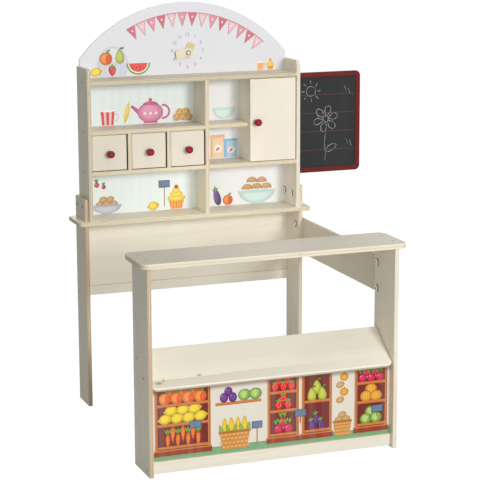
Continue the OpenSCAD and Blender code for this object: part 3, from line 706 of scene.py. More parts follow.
def spot(tree, place, middle, size):
    """A mask that is 1 in the middle of an oval patch and falls to 0 at its rim."""
    for operation, value in (("SUBTRACT", middle), ("DIVIDE", size)):
        node = tree.nodes.new("ShaderNodeVectorMath")
        node.operation = operation
        node.inputs[1].default_value = value
        tree.links.new(place, node.inputs[0])
        place = node.outputs["Vector"]
    reach = tree.nodes.new("ShaderNodeVectorMath")
    reach.operation = "LENGTH"
    tree.links.new(place, reach.inputs[0])
    return step_between(tree, reach.outputs["Value"], 1.0, 0.2)

knotted = veneer_material("birch_knotted", (249, 243, 228), (237, 229, 209), 0.6)
tree = knotted.node_tree
place = object_place(tree)
axes = axes_of(tree, place)
from_left = minus(tree, axes["X"], SHELF_LO.x)
up_slope = calc(tree, "DIVIDE", minus(tree, axes["Z"], front_top.z), math.sin(TILT))
ring_line = scaled(tree, step_between(tree, from_left, 0.10, 0.26), 0.0045, 0.0223)
off_line = minus(tree, up_slope, ring_line)
below = times(tree, step_between(tree, off_line, 0.002, -0.002), step_between(tree, from_left, 0.62, 0.06))
tint_over(knotted, times(tree, below, 0.75), (217, 211, 195))
near = step_between(tree, calc(tree, "ABSOLUTE", off_line), 0.0024, 0.0006)
near = times(tree, near, step_between(tree, from_left, 0.42, 0.05))
tint_over(knotted, times(tree, near, 0.6), (222, 200, 150))
KNOTS = [(0.019, 0.0165, (0.0125, 0.2, 0.0034), 0.75), (0.0315, 0.0222, (0.0040, 0.2, 0.0040), 0.6),
         (0.117, 0.0280, (0.0075, 0.2, 0.0022), 0.75)]
for x, slope, size, strength in KNOTS:
    middle = on_shelf(x, slope)
    halo = spot(tree, place, middle, tuple(1.9 * c for c in size))
    tint_over(knotted, times(tree, halo, 0.35), (226, 208, 170))
    tint_over(knotted, times(tree, spot(tree, place, middle, size), strength), (140, 126, 102))
print("knots:", len(KNOTS))

# %% Display shelf
shelf = block("display_shelf_board", (SHELF_LO.x, 0, -THICK), (SHELF_HI.x, SLOPE, 0))
round_edges(shelf, lambda middle, direction: abs(direction.z) > 0.9 and middle.y < 0.001, 0.013)
soften(shelf, 0.0034, 5)
lay_grain(shelf, "z", "x", knotted)
RIM_HIGHLIGHT, RIM_SHADE = 2, 3
shelf.data.materials.append(veneer_material("birch_rim_painted_highlight", (252, 247, 232), (246, 238, 218), 0.4))
shelf.data.materials.append(veneer_material("birch_rim_painted_shade", (176, 158, 128), (150, 130, 100), 0.4))
# On the round front rim, faces that lean up get a pale painted highlight and faces that look down get a dark
# painted shade.
for face in shelf.data.polygons:
    if face.center.y < 0.014 and abs(face.normal.z) < 0.985:
        if face.normal.z > 0.12:
            face.material_index = RIM_HIGHLIGHT
        elif face.normal.z < -0.3:
            face.material_index = RIM_SHADE
shelf.data.transform(Matrix.Translation(front_top) @ Matrix.Rotation(TILT, 4, "X"))
seat(shelf, "display_shelf")
print("display shelf from", tuple(round(c, 4) for c in SHELF_LO))

# %% [markdown]
# ## Printed boards
#
# The back wall is one thin board. Its upper edge is an arc, so the cube's upper face is cut into many strips
# and each strip's ends are lifted onto the circle. Its printed front is white, with pale mint stripes behind
# the left-hand compartments.

# %% Back wall
WALL_LO, WALL_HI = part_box("back_wall")
WALL_X = (WALL_LO.x + WALL_HI.x) / 2
HALF = (WALL_HI.x - WALL_LO.x) / 2
SHOULDER = 0.8665
RISE = WALL_HI.z - SHOULDER
ARC_R = (HALF * HALF + RISE * RISE) / (2 * RISE)

back_wall = block("back_wall_board", WALL_LO, (WALL_HI.x, WALL_HI.y, SHOULDER))
pick_edges(back_wall, lambda middle, direction: middle.z > SHOULDER - 0.001 and abs(direction.x) > 0.9)
bpy.ops.mesh.subdivide(number_cuts=63, quadcorner="INNERVERT")
bpy.ops.object.mode_set(mode="OBJECT")
for v in back_wall.data.vertices:
    if v.co.z > SHOULDER - 0.001:
        x = v.co.x - WALL_X
        v.co.z = WALL_HI.z - ARC_R + math.sqrt(max(ARC_R * ARC_R - x * x, 0))
soften(back_wall, 0.0006, 2)
print("arch radius:", round(ARC_R, 4), "vertices:", len(back_wall.data.vertices))

# %% Print papers
STRIPE = 0.0235
STRIPES_END, SIGN_FOOT = WALL_X + 0.029, 0.815
LIP = front_top.z - THICK * math.cos(TILT)

paper, g_in, g_out = new_group("print_paper", ("Color", "Roughness"), Color=(255, 255, 255))
fibre = stretched_noise(paper, g_in["Vector"], 900, 900, 3)
wash = stretched_noise(paper, g_in["Vector"], 30, 30, 3)
paper.links.new(stain(paper, g_in["Color"], wash, 0.35, 0.75, 0.10, (225, 226, 228)), g_out["Color"])
paper.links.new(scaled(paper, fibre, 0.2, 0.35), g_out["Roughness"])

def wall_stripes(tree):
    """White, with mint stripes to the left below the sign. The white is a shade darker on the arch and
    lighter below the sign: painted shade and painted light that even out the lamps.
    """
    axes = axes_of(tree, object_place(tree))
    ripple = calc(tree, "PINGPONG", axes["X"], STRIPE / 2)
    stripe = step_between(tree, ripple, STRIPE * 0.22, STRIPE * 0.28)
    left_half = step_between(tree, axes["X"], STRIPES_END, STRIPES_END - 0.001)
    below_sign = step_between(tree, axes["Z"], SIGN_FOOT, SIGN_FOOT - 0.001)
    striped_part = times(tree, left_half, below_sign)
    # Darker white on the arch is painted shade; lighter white in the compartments is painted light.
    white = blend_colour(tree, below_sign, (225, 225, 231), (238, 238, 239))
    white = blend_colour(tree, striped_part, white, (233, 239, 239))
    return blend_colour(tree, times(tree, stripe, striped_part), white, (227, 239, 236))

def add_grime(material):
    """Darkens a print in a narrow strip below the display shelf's front edge: painted shade, where the
    shelf's edge shades the panel.
    """
    tree = material.node_tree
    height = axes_of(tree, object_place(tree))["Z"]
    near = times(tree, step_between(tree, height, LIP - 0.013, LIP - 0.001),
                 step_between(tree, height, LIP + 0.04, LIP + 0.03))
    # The strip's dark brown is painted shade under the shelf's edge.
    tint_over(material, times(tree, near, 0.6), (88, 66, 48))

wall_paper = group_material("wall_print", paper, object_place, Color=wall_stripes)
front_paper = group_material("front_print", paper, object_place, Color=(232, 224, 210))
add_grime(front_paper)
print("print papers ready")

# %% Give the printed boards their papers
def paper_front(obj, sheet):
    """The face that looks to the customer, towards -Y, gets the printed sheet."""
    obj.data.materials.append(sheet)
    fronts = [face for face in obj.data.polygons if face.normal.y < -0.75]
    for face in fronts:
        face.material_index = len(obj.data.materials) - 1
    return len(fronts)

PIVOT_R = 0.00305
pivot_lo, pivot_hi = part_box("clock_pivot")
DIAL = Vector(((pivot_lo.x + pivot_hi.x) / 2, WALL_LO.y, (pivot_lo.z + pivot_hi.z) / 2))
drill(back_wall, DIAL, "y", PIVOT_R)
lay_grain(back_wall, "y", "x", None, edge_material("wall_edge_white", (240, 238, 232), 0.1, 0.85))
print("wall faces printed:", paper_front(back_wall, wall_paper))
seat(back_wall, "back_wall")
front_panel = make_board("front_panel", "y", "x", soft=0.0003)
print("front faces printed:", paper_front(front_panel, front_paper))

# %% [markdown]
# ## Printed pictures
#
# On the real stall the pictures are printed on the boards. An image would blur when it is looked at closely,
# so here each patch of colour is a thin flat shape that lies on its board. There are hundreds of patches,
# too many to draw one by one with operators: their outlines are worked out as points in millimetres, each
# sheet of them becomes one mesh, and a Solidify modifier gives the ink its thickness. The colour is kept in a
# colour attribute, darker at the rim of a patch and lighter inside, as a brush leaves it.

# %% Outlines
def turned(points, x, z, degrees):
    c, s = math.cos(math.radians(degrees)), math.sin(math.radians(degrees))
    return [(x + a * c - b * s, z + a * s + b * c) for a, b in points]

def oval(x, z, w, h, turn=0, n=22):
    angles = [2 * math.pi * i / n for i in range(n)]
    return turned([(w / 2 * math.cos(t), h / 2 * math.sin(t)) for t in angles], x, z, turn)

def drop(x, z, w, h, turn=0, neck=0.5, n=24):
    """An egg whose upper end narrows; with neck 0 it is an oval."""
    points = []
    for t in [2 * math.pi * i / n for i in range(n)]:
        slim = 1 - neck * (0.5 + 0.5 * math.sin(t)) ** 1.6
        points.append((w / 2 * math.cos(t) * slim, h / 2 * math.sin(t)))
    return turned(points, x, z, turn)

def leaf(x, z, length, width, turn, n=7):
    """A pointed leaf that starts at x, z and grows towards turn degrees."""
    side = [(length * i / n, width / 2 * math.sin(math.pi * i / n) ** 0.8) for i in range(n + 1)]
    return turned([(a, -b) for a, b in side] + side[-2:0:-1], x, z, turn)

def bar(x0, z0, x1, z1):
    return [(x0, z0), (x1, z0), (x1, z1), (x0, z1)]

def taper(x, z, foot, rim, h):
    """A bar whose foot and rim have widths of their own."""
    return [(x - foot / 2, z), (x + foot / 2, z), (x + rim / 2, z + h), (x - rim / 2, z + h)]

def arc(x, z, w, h, start, end, n=14):
    """Points along a part of an oval, between two angles in degrees."""
    angles = [math.radians(start + (end - start) * i / n) for i in range(n + 1)]
    return [(x + w / 2 * math.cos(t), z + h / 2 * math.sin(t)) for t in angles]

def line(points, width):
    """A band of that width along a row of points."""
    left, right = [], []
    for i, (x, z) in enumerate(points):
        a, b = points[max(i - 1, 0)], points[min(i + 1, len(points) - 1)]
        reach = math.hypot(b[0] - a[0], b[1] - a[1])
        dx, dz = (a[1] - b[1]) / reach * width / 2, (b[0] - a[0]) / reach * width / 2
        left.append((x + dx, z + dz))
        right.append((x - dx, z - dz))
    return right + left[::-1]

print("an oval has", len(oval(0, 0, 10, 8)), "points")

# %% Ink sheets
LAYER = 0.00005
INK = 0.8 * LAYER

def ink_colour(tree):
    node = tree.nodes.new("ShaderNodeVertexColor")
    node.layer_name = "ink"
    return node.outputs["Color"]

def dull_gloss(material):
    material.node_tree.nodes["Principled BSDF"].inputs["Specular IOR Level"].default_value = 0.2

ink_material = group_material("picture_ink", paper, object_place, Color=ink_colour)
# The ink gets the same painted shade below the shelf's edge.
add_grime(ink_material)
dull_gloss(ink_material)

def dab(sheet, outline, colour, layer, depth=0.0):
    """Adds one patch of ink to a sheet. A higher layer lies over a lower one."""
    area = sum(a[0] * b[1] - b[0] * a[1] for a, b in zip(outline, outline[1:] + outline[:1]))
    sheet.append((outline if area > 0 else outline[::-1], colour, layer, depth))

def finish_ink(obj):
    """Gives ink its thickness; it rides on the stall, as the wall does."""
    use_modifier(obj, "SOLIDIFY", thickness=INK, offset=-1)
    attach(obj, node_body["back_wall"])

def print_sheet(name, sheet, corner, plane, material=ink_material, vivid=1.0):
    """Makes the sheet's mesh on a board that faces -Y; corner is the place of the sheet's 0, 0.
    With vivid over 1 the colours are stronger than they were named."""
    points, faces, tints = [], [], []
    for outline, colour, layer, depth in sheet:
        grey = sum(colour) / 3
        colour = [min(max(grey + (c - grey) * vivid, 0), 255) for c in colour]
        rim = srgb(*(c * (1 - 0.24 * depth) for c in colour))
        core = srgb(*(c + (255 - c) * 0.14 * depth for c in colour))
        n, base, y = len(outline), len(points), plane - layer * LAYER
        rings = [outline]
        if depth:
            xs, zs = zip(*outline)
            fx = sum(xs) / n - 0.10 * (max(xs) - min(xs))
            fz = sum(zs) / n + 0.10 * (max(zs) - min(zs))
            rings.append([(fx + (x - fx) * 0.5, fz + (z - fz) * 0.5) for x, z in outline])
            for i in range(n):
                j = (i + 1) % n
                faces.append((base + i, base + j, base + n + j, base + n + i))
                tints += [rim, rim, core, core]
        points += [(corner[0] + x / 1000, y, corner[1] + z / 1000) for ring in rings for x, z in ring]
        faces.append(tuple(range(len(points) - n, len(points))))
        tints += [core] * n
    mesh = bpy.data.meshes.new(name)
    mesh.from_pydata(points, [], faces)
    for at, colour in zip(mesh.color_attributes.new("ink", "FLOAT_COLOR", "CORNER").data, tints):
        at.color = (*colour, 1)
    obj = bpy.data.objects.new(name, mesh)
    bpy.context.scene.collection.objects.link(obj)
    dress(obj, material)
    finish_ink(obj)
    print(name, "patches:", len(sheet), "faces:", len(obj.data.polygons))

# %% [markdown]
# The pictures show a market: fruit, vegetables, baskets and kitchen things, in flat colours with a soft
# shade. Each kind of fruit is a short list of patches, drawn at size 1 round 0, 0. A patch is an outline, a
# colour, a layer and the depth of its shade. The list is then stamped onto a sheet at any size, alone or in
# heaps.

# %% Round fruit
LEAF, DARK_LEAF, STALK = (120, 160, 66), (84, 124, 60), (112, 78, 48)

def stamp(sheet, motif, x, z, size, layer):
    """Prints a motif with its 0, 0 at x, z."""
    for outline, colour, level, *depth in motif:
        dab(sheet, [(x + size * a, z + size * b) for a, b in outline], colour, layer + level, *depth)

lemon = [(oval(0.46 * end, 0.08 * end, 0.26, 0.2), (232, 190, 48), 0, 0.5) for end in (-1, 1)]
lemon += [(oval(0, 0, 1, 0.78, 10), (247, 211, 62), 1, 0.9)]

peach = [(oval(0, 0, 1, 0.94), (238, 142, 62), 0, 0.9),
         (oval(0.2, -0.06, 0.44, 0.7), (222, 96, 62), 1, 0.4),
         (leaf(0, 0.42, 0.42, 0.2, 35), LEAF, 2, 0.6)]

plum = [(oval(0, 0, 0.86, 1), (104, 56, 130), 0, 0.9),
        (line(arc(0.1, 0, 0.5, 0.9, 100, 250), 0.04), (78, 38, 104), 1),
        (oval(-0.2, 0.2, 0.16, 0.24), (168, 128, 190), 2)]

melon = [(oval(0, 0, 1.12, 1), (228, 168, 66), 0, 0.9)]
melon += [(line(arc(0, 0, w, 0.96, start, start + 160), 0.035), (192, 128, 44), 1)
          for w in (0.25, 0.72) for start in (-80, 100)]
melon += [(line([(0, 0.46), (0.05, 0.62)], 0.07), STALK, 2)]

cabbage = [(oval(0, 0, 1.06, 0.94), (126, 164, 74), 0, 0.8),
           (oval(-0.08, 0.02, 0.72, 0.76), (164, 196, 104), 1, 0.7)]
cabbage += [(line([(-0.06, -0.3), tip], 0.045), (214, 228, 168), 2)
            for tip in arc(0, 0, 0.68, 0.68, 50, 130, 2)]
print("a melon has", len(melon), "patches")

# %% Long fruit and roots
def leaves(turns, x, z, length, width, *finish):
    """Leaves that grow from one place, one for each angle."""
    return [(leaf(x, z, length, width, turn), *finish) for turn in turns]

def dots(places, w, h, colour, level):
    return [(oval(a, b, w, h, n=8), colour, level) for a, b in places]

pear = [(drop(0, 0.08, 0.9, 1.22, 4, 0.55), (188, 196, 74), 0, 0.9),
        (line([(0, 0.62), (0.1, 0.84)], 0.07), STALK, 1),
        (leaf(0.05, 0.7, 0.36, 0.17, 20), DARK_LEAF, 2, 0.5)]

strawberry = [(drop(0, 0, 0.94, 1.04, 180, 0.6), (206, 38, 44), 0, 0.8)]
strawberry += dots([(-0.2, 0.12), (0.16, 0.18), (0, -0.12), (-0.08, 0.3), (0.2, -0.02)],
                   0.06, 0.1, (246, 214, 120), 1)
strawberry += leaves((20, 90, 160), 0, 0.42, 0.34, 0.18, LEAF, 2, 0.4)

carrot = leaves((62, 90, 118), 0, 0.62, 0.62, 0.16, LEAF, 0, 0.5)
carrot += [(drop(0, 0, 0.5, 1.4, 180, 0.8), (232, 118, 36), 1, 0.9)]
carrot += [(line([(-0.15, b), (0.03, b - 0.03)], 0.04), (196, 86, 26), 2) for b in (0.34, 0.06, -0.2)]

radish = leaves((65, 100, 130), 0, 0.36, 0.66, 0.24, LEAF, 0, 0.5)
radish += [(line([(0, -0.4), (0.08, -0.66)], 0.06), (236, 214, 214), 0),
           (oval(0, 0, 0.84, 0.84), (200, 40, 82), 1, 0.9),
           (oval(-0.16, 0.16, 0.16, 0.14), (240, 164, 188), 2)]

aubergine = [(drop(0, 0, 0.72, 1.5, 14, 0.55), (88, 42, 108), 0, 0.9),
             (line(arc(0, 0, 0.4, 1.0, 130, 220), 0.06), (150, 108, 172), 1)]
aubergine += leaves((230, 290, 350), -0.17, 0.66, 0.3, 0.16, LEAF, 2, 0.4)
aubergine += [(line([(-0.17, 0.64), (-0.2, 0.86)], 0.09), DARK_LEAF, 3)]

corn = [(drop(0, 0, 0.6, 1.6, 0, 0.45), (246, 208, 72), 0, 0.8)]
corn += [(line([(a, -0.6), (0.7 * a, 0.6)], 0.035), (220, 168, 40), 1) for a in (-0.14, 0, 0.14)]
corn += [(leaf(0.06 * side, -0.8, 1.2, 0.34, 90 - 16 * side), (136, 172, 78), 2, 0.7) for side in (-1, 1)]

potato = [(oval(0, 0, 1.1, 0.82, 15), (206, 166, 112), 0, 0.8)]
potato += dots([(-0.2, 0.1), (0.18, 0.16), (0.06, -0.16)], 0.1, 0.07, (166, 122, 74), 1)

mushroom = [(drop(0, -0.26, 0.42, 0.6, 0, 0.2), (240, 226, 200), 0, 0.6),
            (arc(0, -0.06, 1.04, 0.96, 0, 180), (204, 154, 104), 1, 0.7)]
print("a strawberry has", len(strawberry), "patches")

# %% Heaps, racks, tags and baskets
def heap(s, motif, x0, x1, z, d, y, rows=2, pitch=0.92):
    """Rows of one motif of size d, the upper row behind the lower one."""
    for r in reversed(range(rows)):
        room = x1 - x0 - (d * pitch if r % 2 else 0)
        count = max(int(room // (d * pitch)), 1)
        first = (x0 + x1) / 2 - d * pitch * (count - 1) / 2
        for i in range(count):
            level = y + (rows - 1 - r) * 8 + (i % 2) * 4
            height = z + d * 0.46 + r * d * 0.6 + random.uniform(-0.7, 0.7)
            stamp(s, motif, first + d * pitch * i, height, d, level)

def tag(s, x, z, w, h, y, foot):
    """A blank name board on a stick."""
    dab(s, line([(x, foot), (x, z)], 2.2), (150, 104, 66), y)
    for inset, colour, level in ((0, (74, 88, 112), 1), (1.4, (112, 130, 156), 2)):
        a, b = w / 2 - inset, h / 2 - inset
        dab(s, bar(x - a, z - b, x + a, z + b), colour, y + level)

BROWN, MID_BROWN, TAN, LEDGE = (106, 42, 36), (140, 66, 48), (196, 128, 76), (164, 104, 60)

def rack(s, x0, x1, z0, z1, rows, y=2):
    """A rack with a dark back; each row is (z, motif, size) and stands behind a ledge."""
    dab(s, bar(x0, z0, x1, z1), BROWN, y)
    for z, motif, d in rows:
        heap(s, motif, x0 + 7, x1 - 7, z + 5, d, y + 2)
        dab(s, bar(x0 + 4, z, x1 - 4, z + 7), TAN, y + 20)
        dab(s, bar(x0 + 4, z, x1 - 4, z + 1.6), LEDGE, y + 21)
    for x in (x0, x1 - 6):
        dab(s, bar(x, z0, x + 6, z1), (178, 112, 66), y + 22)
        dab(s, bar(x, z0, x + 1.6, z1), (212, 150, 98), y + 23)
    dab(s, bar(x0 - 3, z0 - 3, x1 + 3, z0 + 11), MID_BROWN, y + 24)
    dab(s, bar(x0 - 3, z0 + 8, x1 + 3, z0 + 11), TAN, y + 25)

def basket(s, x, z, w, h, y):
    """A round basket of woven cane, wider at its rim."""
    dab(s, taper(x, z, w * 0.8, w, h), (198, 142, 84), y)
    for row in range(4):
        for i in range(7):
            px = x + (i - 3 + 0.25 * (-1) ** row) * w * 0.135
            weave = oval(px, z + h * (0.14 + 0.24 * row), w * 0.12, h * 0.13, n=10)
            dab(s, weave, (226, 178, 116), y + 1, 0.5)
    dab(s, bar(x - w * 0.53, z + h - 3, x + w * 0.53, z + h + 3), (172, 116, 64), y + 2)

print("racks ready")

# %% [markdown]
# ### The front panel's picture
#
# Racks with dark backs stand on a green strip of floor, with baskets and a wall shelf between them.

# %% Print the front panel
random.seed(11)
front = []
PANEL_LO, PANEL_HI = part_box("front_panel")
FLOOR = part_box("plinth_board")[1].z
WIDE = (PANEL_HI.x - PANEL_LO.x) * 1000
TALL = (PANEL_HI.z - FLOOR) * 1000 - 1
dab(front, bar(0.5, 0.2, WIDE - 0.5, 17), (128, 168, 128), 0.9)
dab(front, bar(0.5, 15.4, WIDE - 0.5, 17), (104, 146, 110), 1.2)
rack(front, 9, 140, 12, TALL, [(24, carrot, 26), (76, lemon, 30), (122, peach, 30)])
tag(front, 104, 76, 28, 17, 34, 52)
dab(front, bar(152, 112, 262, 119), TAN, 4)
dab(front, bar(152, 112, 262, 113.6), LEDGE, 5)
heap(front, plum, 154, 212, 119, 23, 6)
heap(front, cabbage, 206, 264, 119, 29, 6, 1)
heap(front, corn, 164, 232, 42, 32, 6, 1, 0.5)
basket(front, 198, 8, 72, 40, 24)
tag(front, 252, 58, 26, 17, 8, 12)
rack(front, 278, 354, 12, TALL, [(24, radish, 26), (80, strawberry, 24), (124, strawberry, 22)])
rack(front, 362, 436, 12, TALL, [(24, aubergine, 25), (94, pear, 28)])
tag(front, 358, 74, 28, 17, 34, 50)
for i in range(4):
    stamp(front, potato if i % 2 else melon, 462 + 5 * (-1) ** i, 148 - 18 * i, 19, 5 + 3 * (i % 2))
heap(front, potato, 442, 484, 38, 19, 6)
basket(front, 463, 8, 44, 34, 24)
rack(front, 494, 576, 12, TALL, [(24, cabbage, 28), (78, melon, 27), (124, radish, 24)])
tag(front, 550, 64, 28, 17, 34, 44)
print_sheet("front_picture", front, (PANEL_LO.x, FLOOR), PANEL_LO.y, vivid=1.25)

# %% [markdown]
# ### The wall's pictures
#
# Small kitchen things stand in the compartments, and the sign carries pennants on a string with a basket of
# fruit beside them. Heights are the shelves' own, so that each thing stands on its shelf. A kitchen thing's
# motif has its foot at 0, 0.

# %% Kitchen things
PINK, ROSE = (232, 150, 184), (206, 92, 136)
teapot = [(line(arc(0.36, 0.3, 0.36, 0.36, -100, 100), 0.055), ROSE, 0),
          ([(-0.3, 0.18), (-0.28, 0.34), (-0.52, 0.52), (-0.56, 0.46)], ROSE, 0),
          (oval(0, 0.29, 0.74, 0.56), PINK, 1, 0.7),
          (bar(-0.2, 0, 0.2, 0.05), ROSE, 1.5),
          (arc(0, 0.5, 0.44, 0.2, 0, 180), ROSE, 2, 0.4),
          (oval(0, 0.64, 0.1, 0.1), ROSE, 3)]
teapot += [(oval(a, 0.27, 0.08, 0.08), (250, 238, 236), 3) for a in (-0.16, 0, 0.16)]

def cup(colour, stripe):
    patches = [(line(arc(0.46, 0.45, 0.4, 0.44, -90, 90), 0.09), colour, 0),
               (taper(0, 0, 0.72, 0.92, 0.86), colour, 1)]
    for i in (-2, 0, 2):
        a, b = i - 0.5, i + 0.5
        patches.append(([(a * 0.14, 0), (b * 0.14, 0), (b * 0.17, 0.86), (a * 0.17, 0.86)], stripe, 2))
    return patches + [(oval(0, 0.86, 0.92, 0.16), (252, 246, 240), 3)]

biscuits = [(oval(0, 0.06, 1.2, 0.13), (206, 220, 232), 0)]
for i, (a, b) in enumerate(((-0.32, 0.22), (0.3, 0.2), (0, 0.24), (-0.16, 0.46), (0.16, 0.48))):
    crumbs = [(a - 0.07, b + 0.05), (a + 0.08, b + 0.02), (a, b - 0.08)]
    biscuits += [(oval(a, b, 0.42, 0.36), (226, 180, 112), 1 + 2 * i, 0.7)]
    biscuits += dots(crumbs, 0.06, 0.06, (150, 92, 52), 2 + 2 * i)

cake = [(taper(0, 0, 0.52, 0.72, 0.4), (236, 166, 92), 0)]
cake += [(line([(0.94 * a, 0), (a, 0.4)], 0.03), (200, 122, 60), 1) for a in (-0.26, -0.13, 0, 0.13, 0.26)]
cake += [(oval(0, b, w, 0.28), (252, 216, 84), 2 + i, 0.6)
         for i, (b, w) in enumerate(((0.48, 0.84), (0.66, 0.6), (0.82, 0.34)))]
cake += [(oval(0, 0.98, 0.18, 0.18), (214, 56, 60), 6, 0.5)]

def bowl(s, x, z, w, h, y, colour, rim):
    dab(s, arc(x, z + h, w, 2 * h, 180, 360), colour, y, 0.5)
    dab(s, bar(x - w * 0.18, z - 0.2, x + w * 0.18, z + h * 0.12), rim, y + 1)
    dab(s, bar(x - w * 0.52, z + h - 2, x + w * 0.52, z + h + 2), rim, y + 2)

def tin(s, x, z, w, h, y, colour, lid):
    dab(s, bar(x - w / 2, z, x + w / 2, z + h), colour, y)
    dab(s, bar(x - w / 2, z, x - w * 0.3, z + h), lid, y + 0.5)
    dab(s, oval(x + w * 0.06, z + h * 0.46, w * 0.56, h * 0.4), (250, 246, 238), y + 1)
    dab(s, leaf(x - w * 0.1, z + h * 0.36, w * 0.36, w * 0.18, 40), (220, 120, 84), y + 2, 0.4)
    dab(s, bar(x - w * 0.54, z + h, x + w * 0.54, z + h * 1.16), lid, y + 1)

print("a plate of biscuits has", len(biscuits), "patches")

# %% Print the wall
def shelf_top(node):
    """The height of a board's upper face in the picture's millimetres, with a little room above it."""
    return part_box(node)[1].z * 1000 + 1.5

random.seed(5)
wall = []
SHELF_A, SHELF_B = shelf_top("drawer_top_shelf"), shelf_top("rear_counter")
CUBBY_A, CUBBY_B = shelf_top("cubby_shelf"), shelf_top("cupboard_floor")
stamp(wall, cup((240, 206, 204), (212, 84, 86)), -204, SHELF_A, 42, 1)
dab(wall, leaf(-160, SHELF_A, 58, 13, 78), (246, 214, 96), 1, 0.5)
stamp(wall, teapot, -92, SHELF_A, 92, 1)
stamp(wall, biscuits, -6, SHELF_A, 52, 1)
bowl(wall, 104, CUBBY_A, 60, 28, 1, (222, 240, 234), (204, 230, 224))
dab(wall, line([(116, CUBBY_A + 28), (132, CUBBY_A + 66)], 3), (226, 232, 228), 0.6)
tin(wall, 86, CUBBY_B, 38, 52, 1, (244, 214, 182), (234, 190, 148))
tin(wall, 122, CUBBY_B, 36, 42, 6, (180, 212, 234), (148, 190, 222))
heap(wall, potato, -244, -178, SHELF_B + 14, 20, 4)
bowl(wall, -211, SHELF_B, 76, 20, 22, (200, 202, 214), (178, 180, 196))
stamp(wall, radish, -236, SHELF_B + 74, 16, 1)
stamp(wall, radish, -218, SHELF_B + 68, 13, 5)
tag(wall, -58, SHELF_B + 66, 30, 19, 1, SHELF_B + 8)
stamp(wall, cake, -26, SHELF_B, 58, 6)
stamp(wall, lemon, -88, SHELF_B + 11, 28, 1)
stamp(wall, aubergine, 84, SHELF_B + 24, 32, 1)
stamp(wall, peach, 114, SHELF_B + 13, 28, 5)
heap(wall, mushroom, 152, 236, SHELF_B + 26, 29, 1)
bowl(wall, 194, SHELF_B, 100, 32, 22, (212, 232, 226), (188, 218, 211))
print("wall patches so far:", len(wall))

# %% Print the sign
SIGN = shelf_top("top_board")
dab(wall, line(arc(-188, SIGN + 30, 74, 84, 5, 175, 20), 4), (206, 208, 220), 1)
dab(wall, taper(-188, SIGN, 68, 84, 36), (214, 216, 226), 1.5)
for i in range(6):
    dab(wall, line([(-220 + 12.8 * i, SIGN + 2), (-225 + 14.8 * i, SIGN + 34)], 1.4), (194, 196, 210), 2)
stamp(wall, peach, -206, SIGN + 44, 34, 3)
stamp(wall, pear, -170, SIGN + 46, 30, 7)
stamp(wall, strawberry, -190, SIGN + 13, 24, 11)
stamp(wall, lemon, -232, SIGN + 12, 28, 11)
RIND = ((62, 58, (104, 160, 84)), (54, 50, (236, 240, 214)), (48, 44, (226, 84, 84)))
for i, (w, h, colour) in enumerate(RIND):
    dab(wall, arc(-122, SIGN + 30, w, h, 180, 360), colour, 3 + i)
for a in (-14, -5, 5, 14):
    dab(wall, oval(-122 + a, SIGN + 20 - abs(a) * 0.2, 2.6, 4.4, n=10), (92, 46, 48), 6)
stamp(wall, cake, 232, SIGN, 26, 1)
stamp(wall, cup((236, 160, 104), (246, 190, 140)), 205, SIGN, 22, 1)
print("sign patches so far:", len(wall))

# %% [markdown]
# The string of pennants hangs under the arch's edge, at an even distance from it, in reds and pinks.

# %% Pennants
ROUND = (ARC_R - 0.026) * 1000
CENTRE = (WALL_HI.z - ARC_R) * 1000
FLAGS = ((212, 116, 126), (240, 202, 210), (228, 158, 170))

def on_string(degrees):
    """A place on the string, by its angle from the top of the arch."""
    return ROUND * math.sin(math.radians(degrees)), CENTRE + ROUND * math.cos(math.radians(degrees))

dab(wall, line([on_string(a) for a in range(-28, 44, 2)], 1.6), (198, 134, 142), 1)
for i, a in enumerate(range(-26, 40, 5)):
    x, z = on_string(a)
    dab(wall, turned([(-13, -0.6), (0, -36), (13, -0.6)], x, z, -a), (206, 128, 140), 2)
    dab(wall, turned([(-10.8, -1.8), (0, -31.6), (10.8, -1.8)], x, z, -a), FLAGS[i % 3], 3)
    dab(wall, oval(*turned([(0, -11)], x, z, -a)[0], 5, 5, n=12), (252, 240, 240), 4)
print_sheet("wall_picture", wall, (WALL_X, 0), WALL_LO.y, vivid=1.05)

# %% [markdown]
# The clock's dial is a ring of plain numbers round the pivot. Each number is a text object, made a mesh
# before it is put in its place.

# %% Clock numbers
DIAL_R, DIAL_LIFT = 0.0408, 0.0045
numbers = []
for hour in range(1, 13):
    bpy.ops.object.select_all(action="DESELECT")
    bpy.ops.object.text_add()
    text = bpy.context.object
    text.data.body = str(hour)
    text.data.size = 0.0125
    text.data.align_x, text.data.align_y = "CENTER", "CENTER"
    bpy.ops.object.convert(target="MESH")
    number = bpy.context.object
    angle = math.radians(30 * hour)
    at = DIAL + Vector((DIAL_R * math.sin(angle), -LAYER, DIAL_R * math.cos(angle) + DIAL_LIFT))
    number.data.transform(Matrix.Translation(at) @ Matrix.Rotation(math.pi / 2, 4, "X"))
    numbers.append(number)
dial = joined(numbers)
dial.name = "clock_numbers"
dress(dial, ink_material)
for corner in dial.data.color_attributes.new("ink", "FLOAT_COLOR", "CORNER").data:
    corner.color = as_value((128, 144, 174))
finish_ink(dial)
print("dial faces:", len(dial.data.polygons))

# %% [markdown]
# ## Red knobs
#
# A knob is turned on a lathe. The profile is drawn as one edge loop after another: a circle is extruded
# outwards and scaled, and a Subdivision Surface rounds the rim. The rim and sides get a darker red, painted
# shade; the flat front keeps the lighter paint.

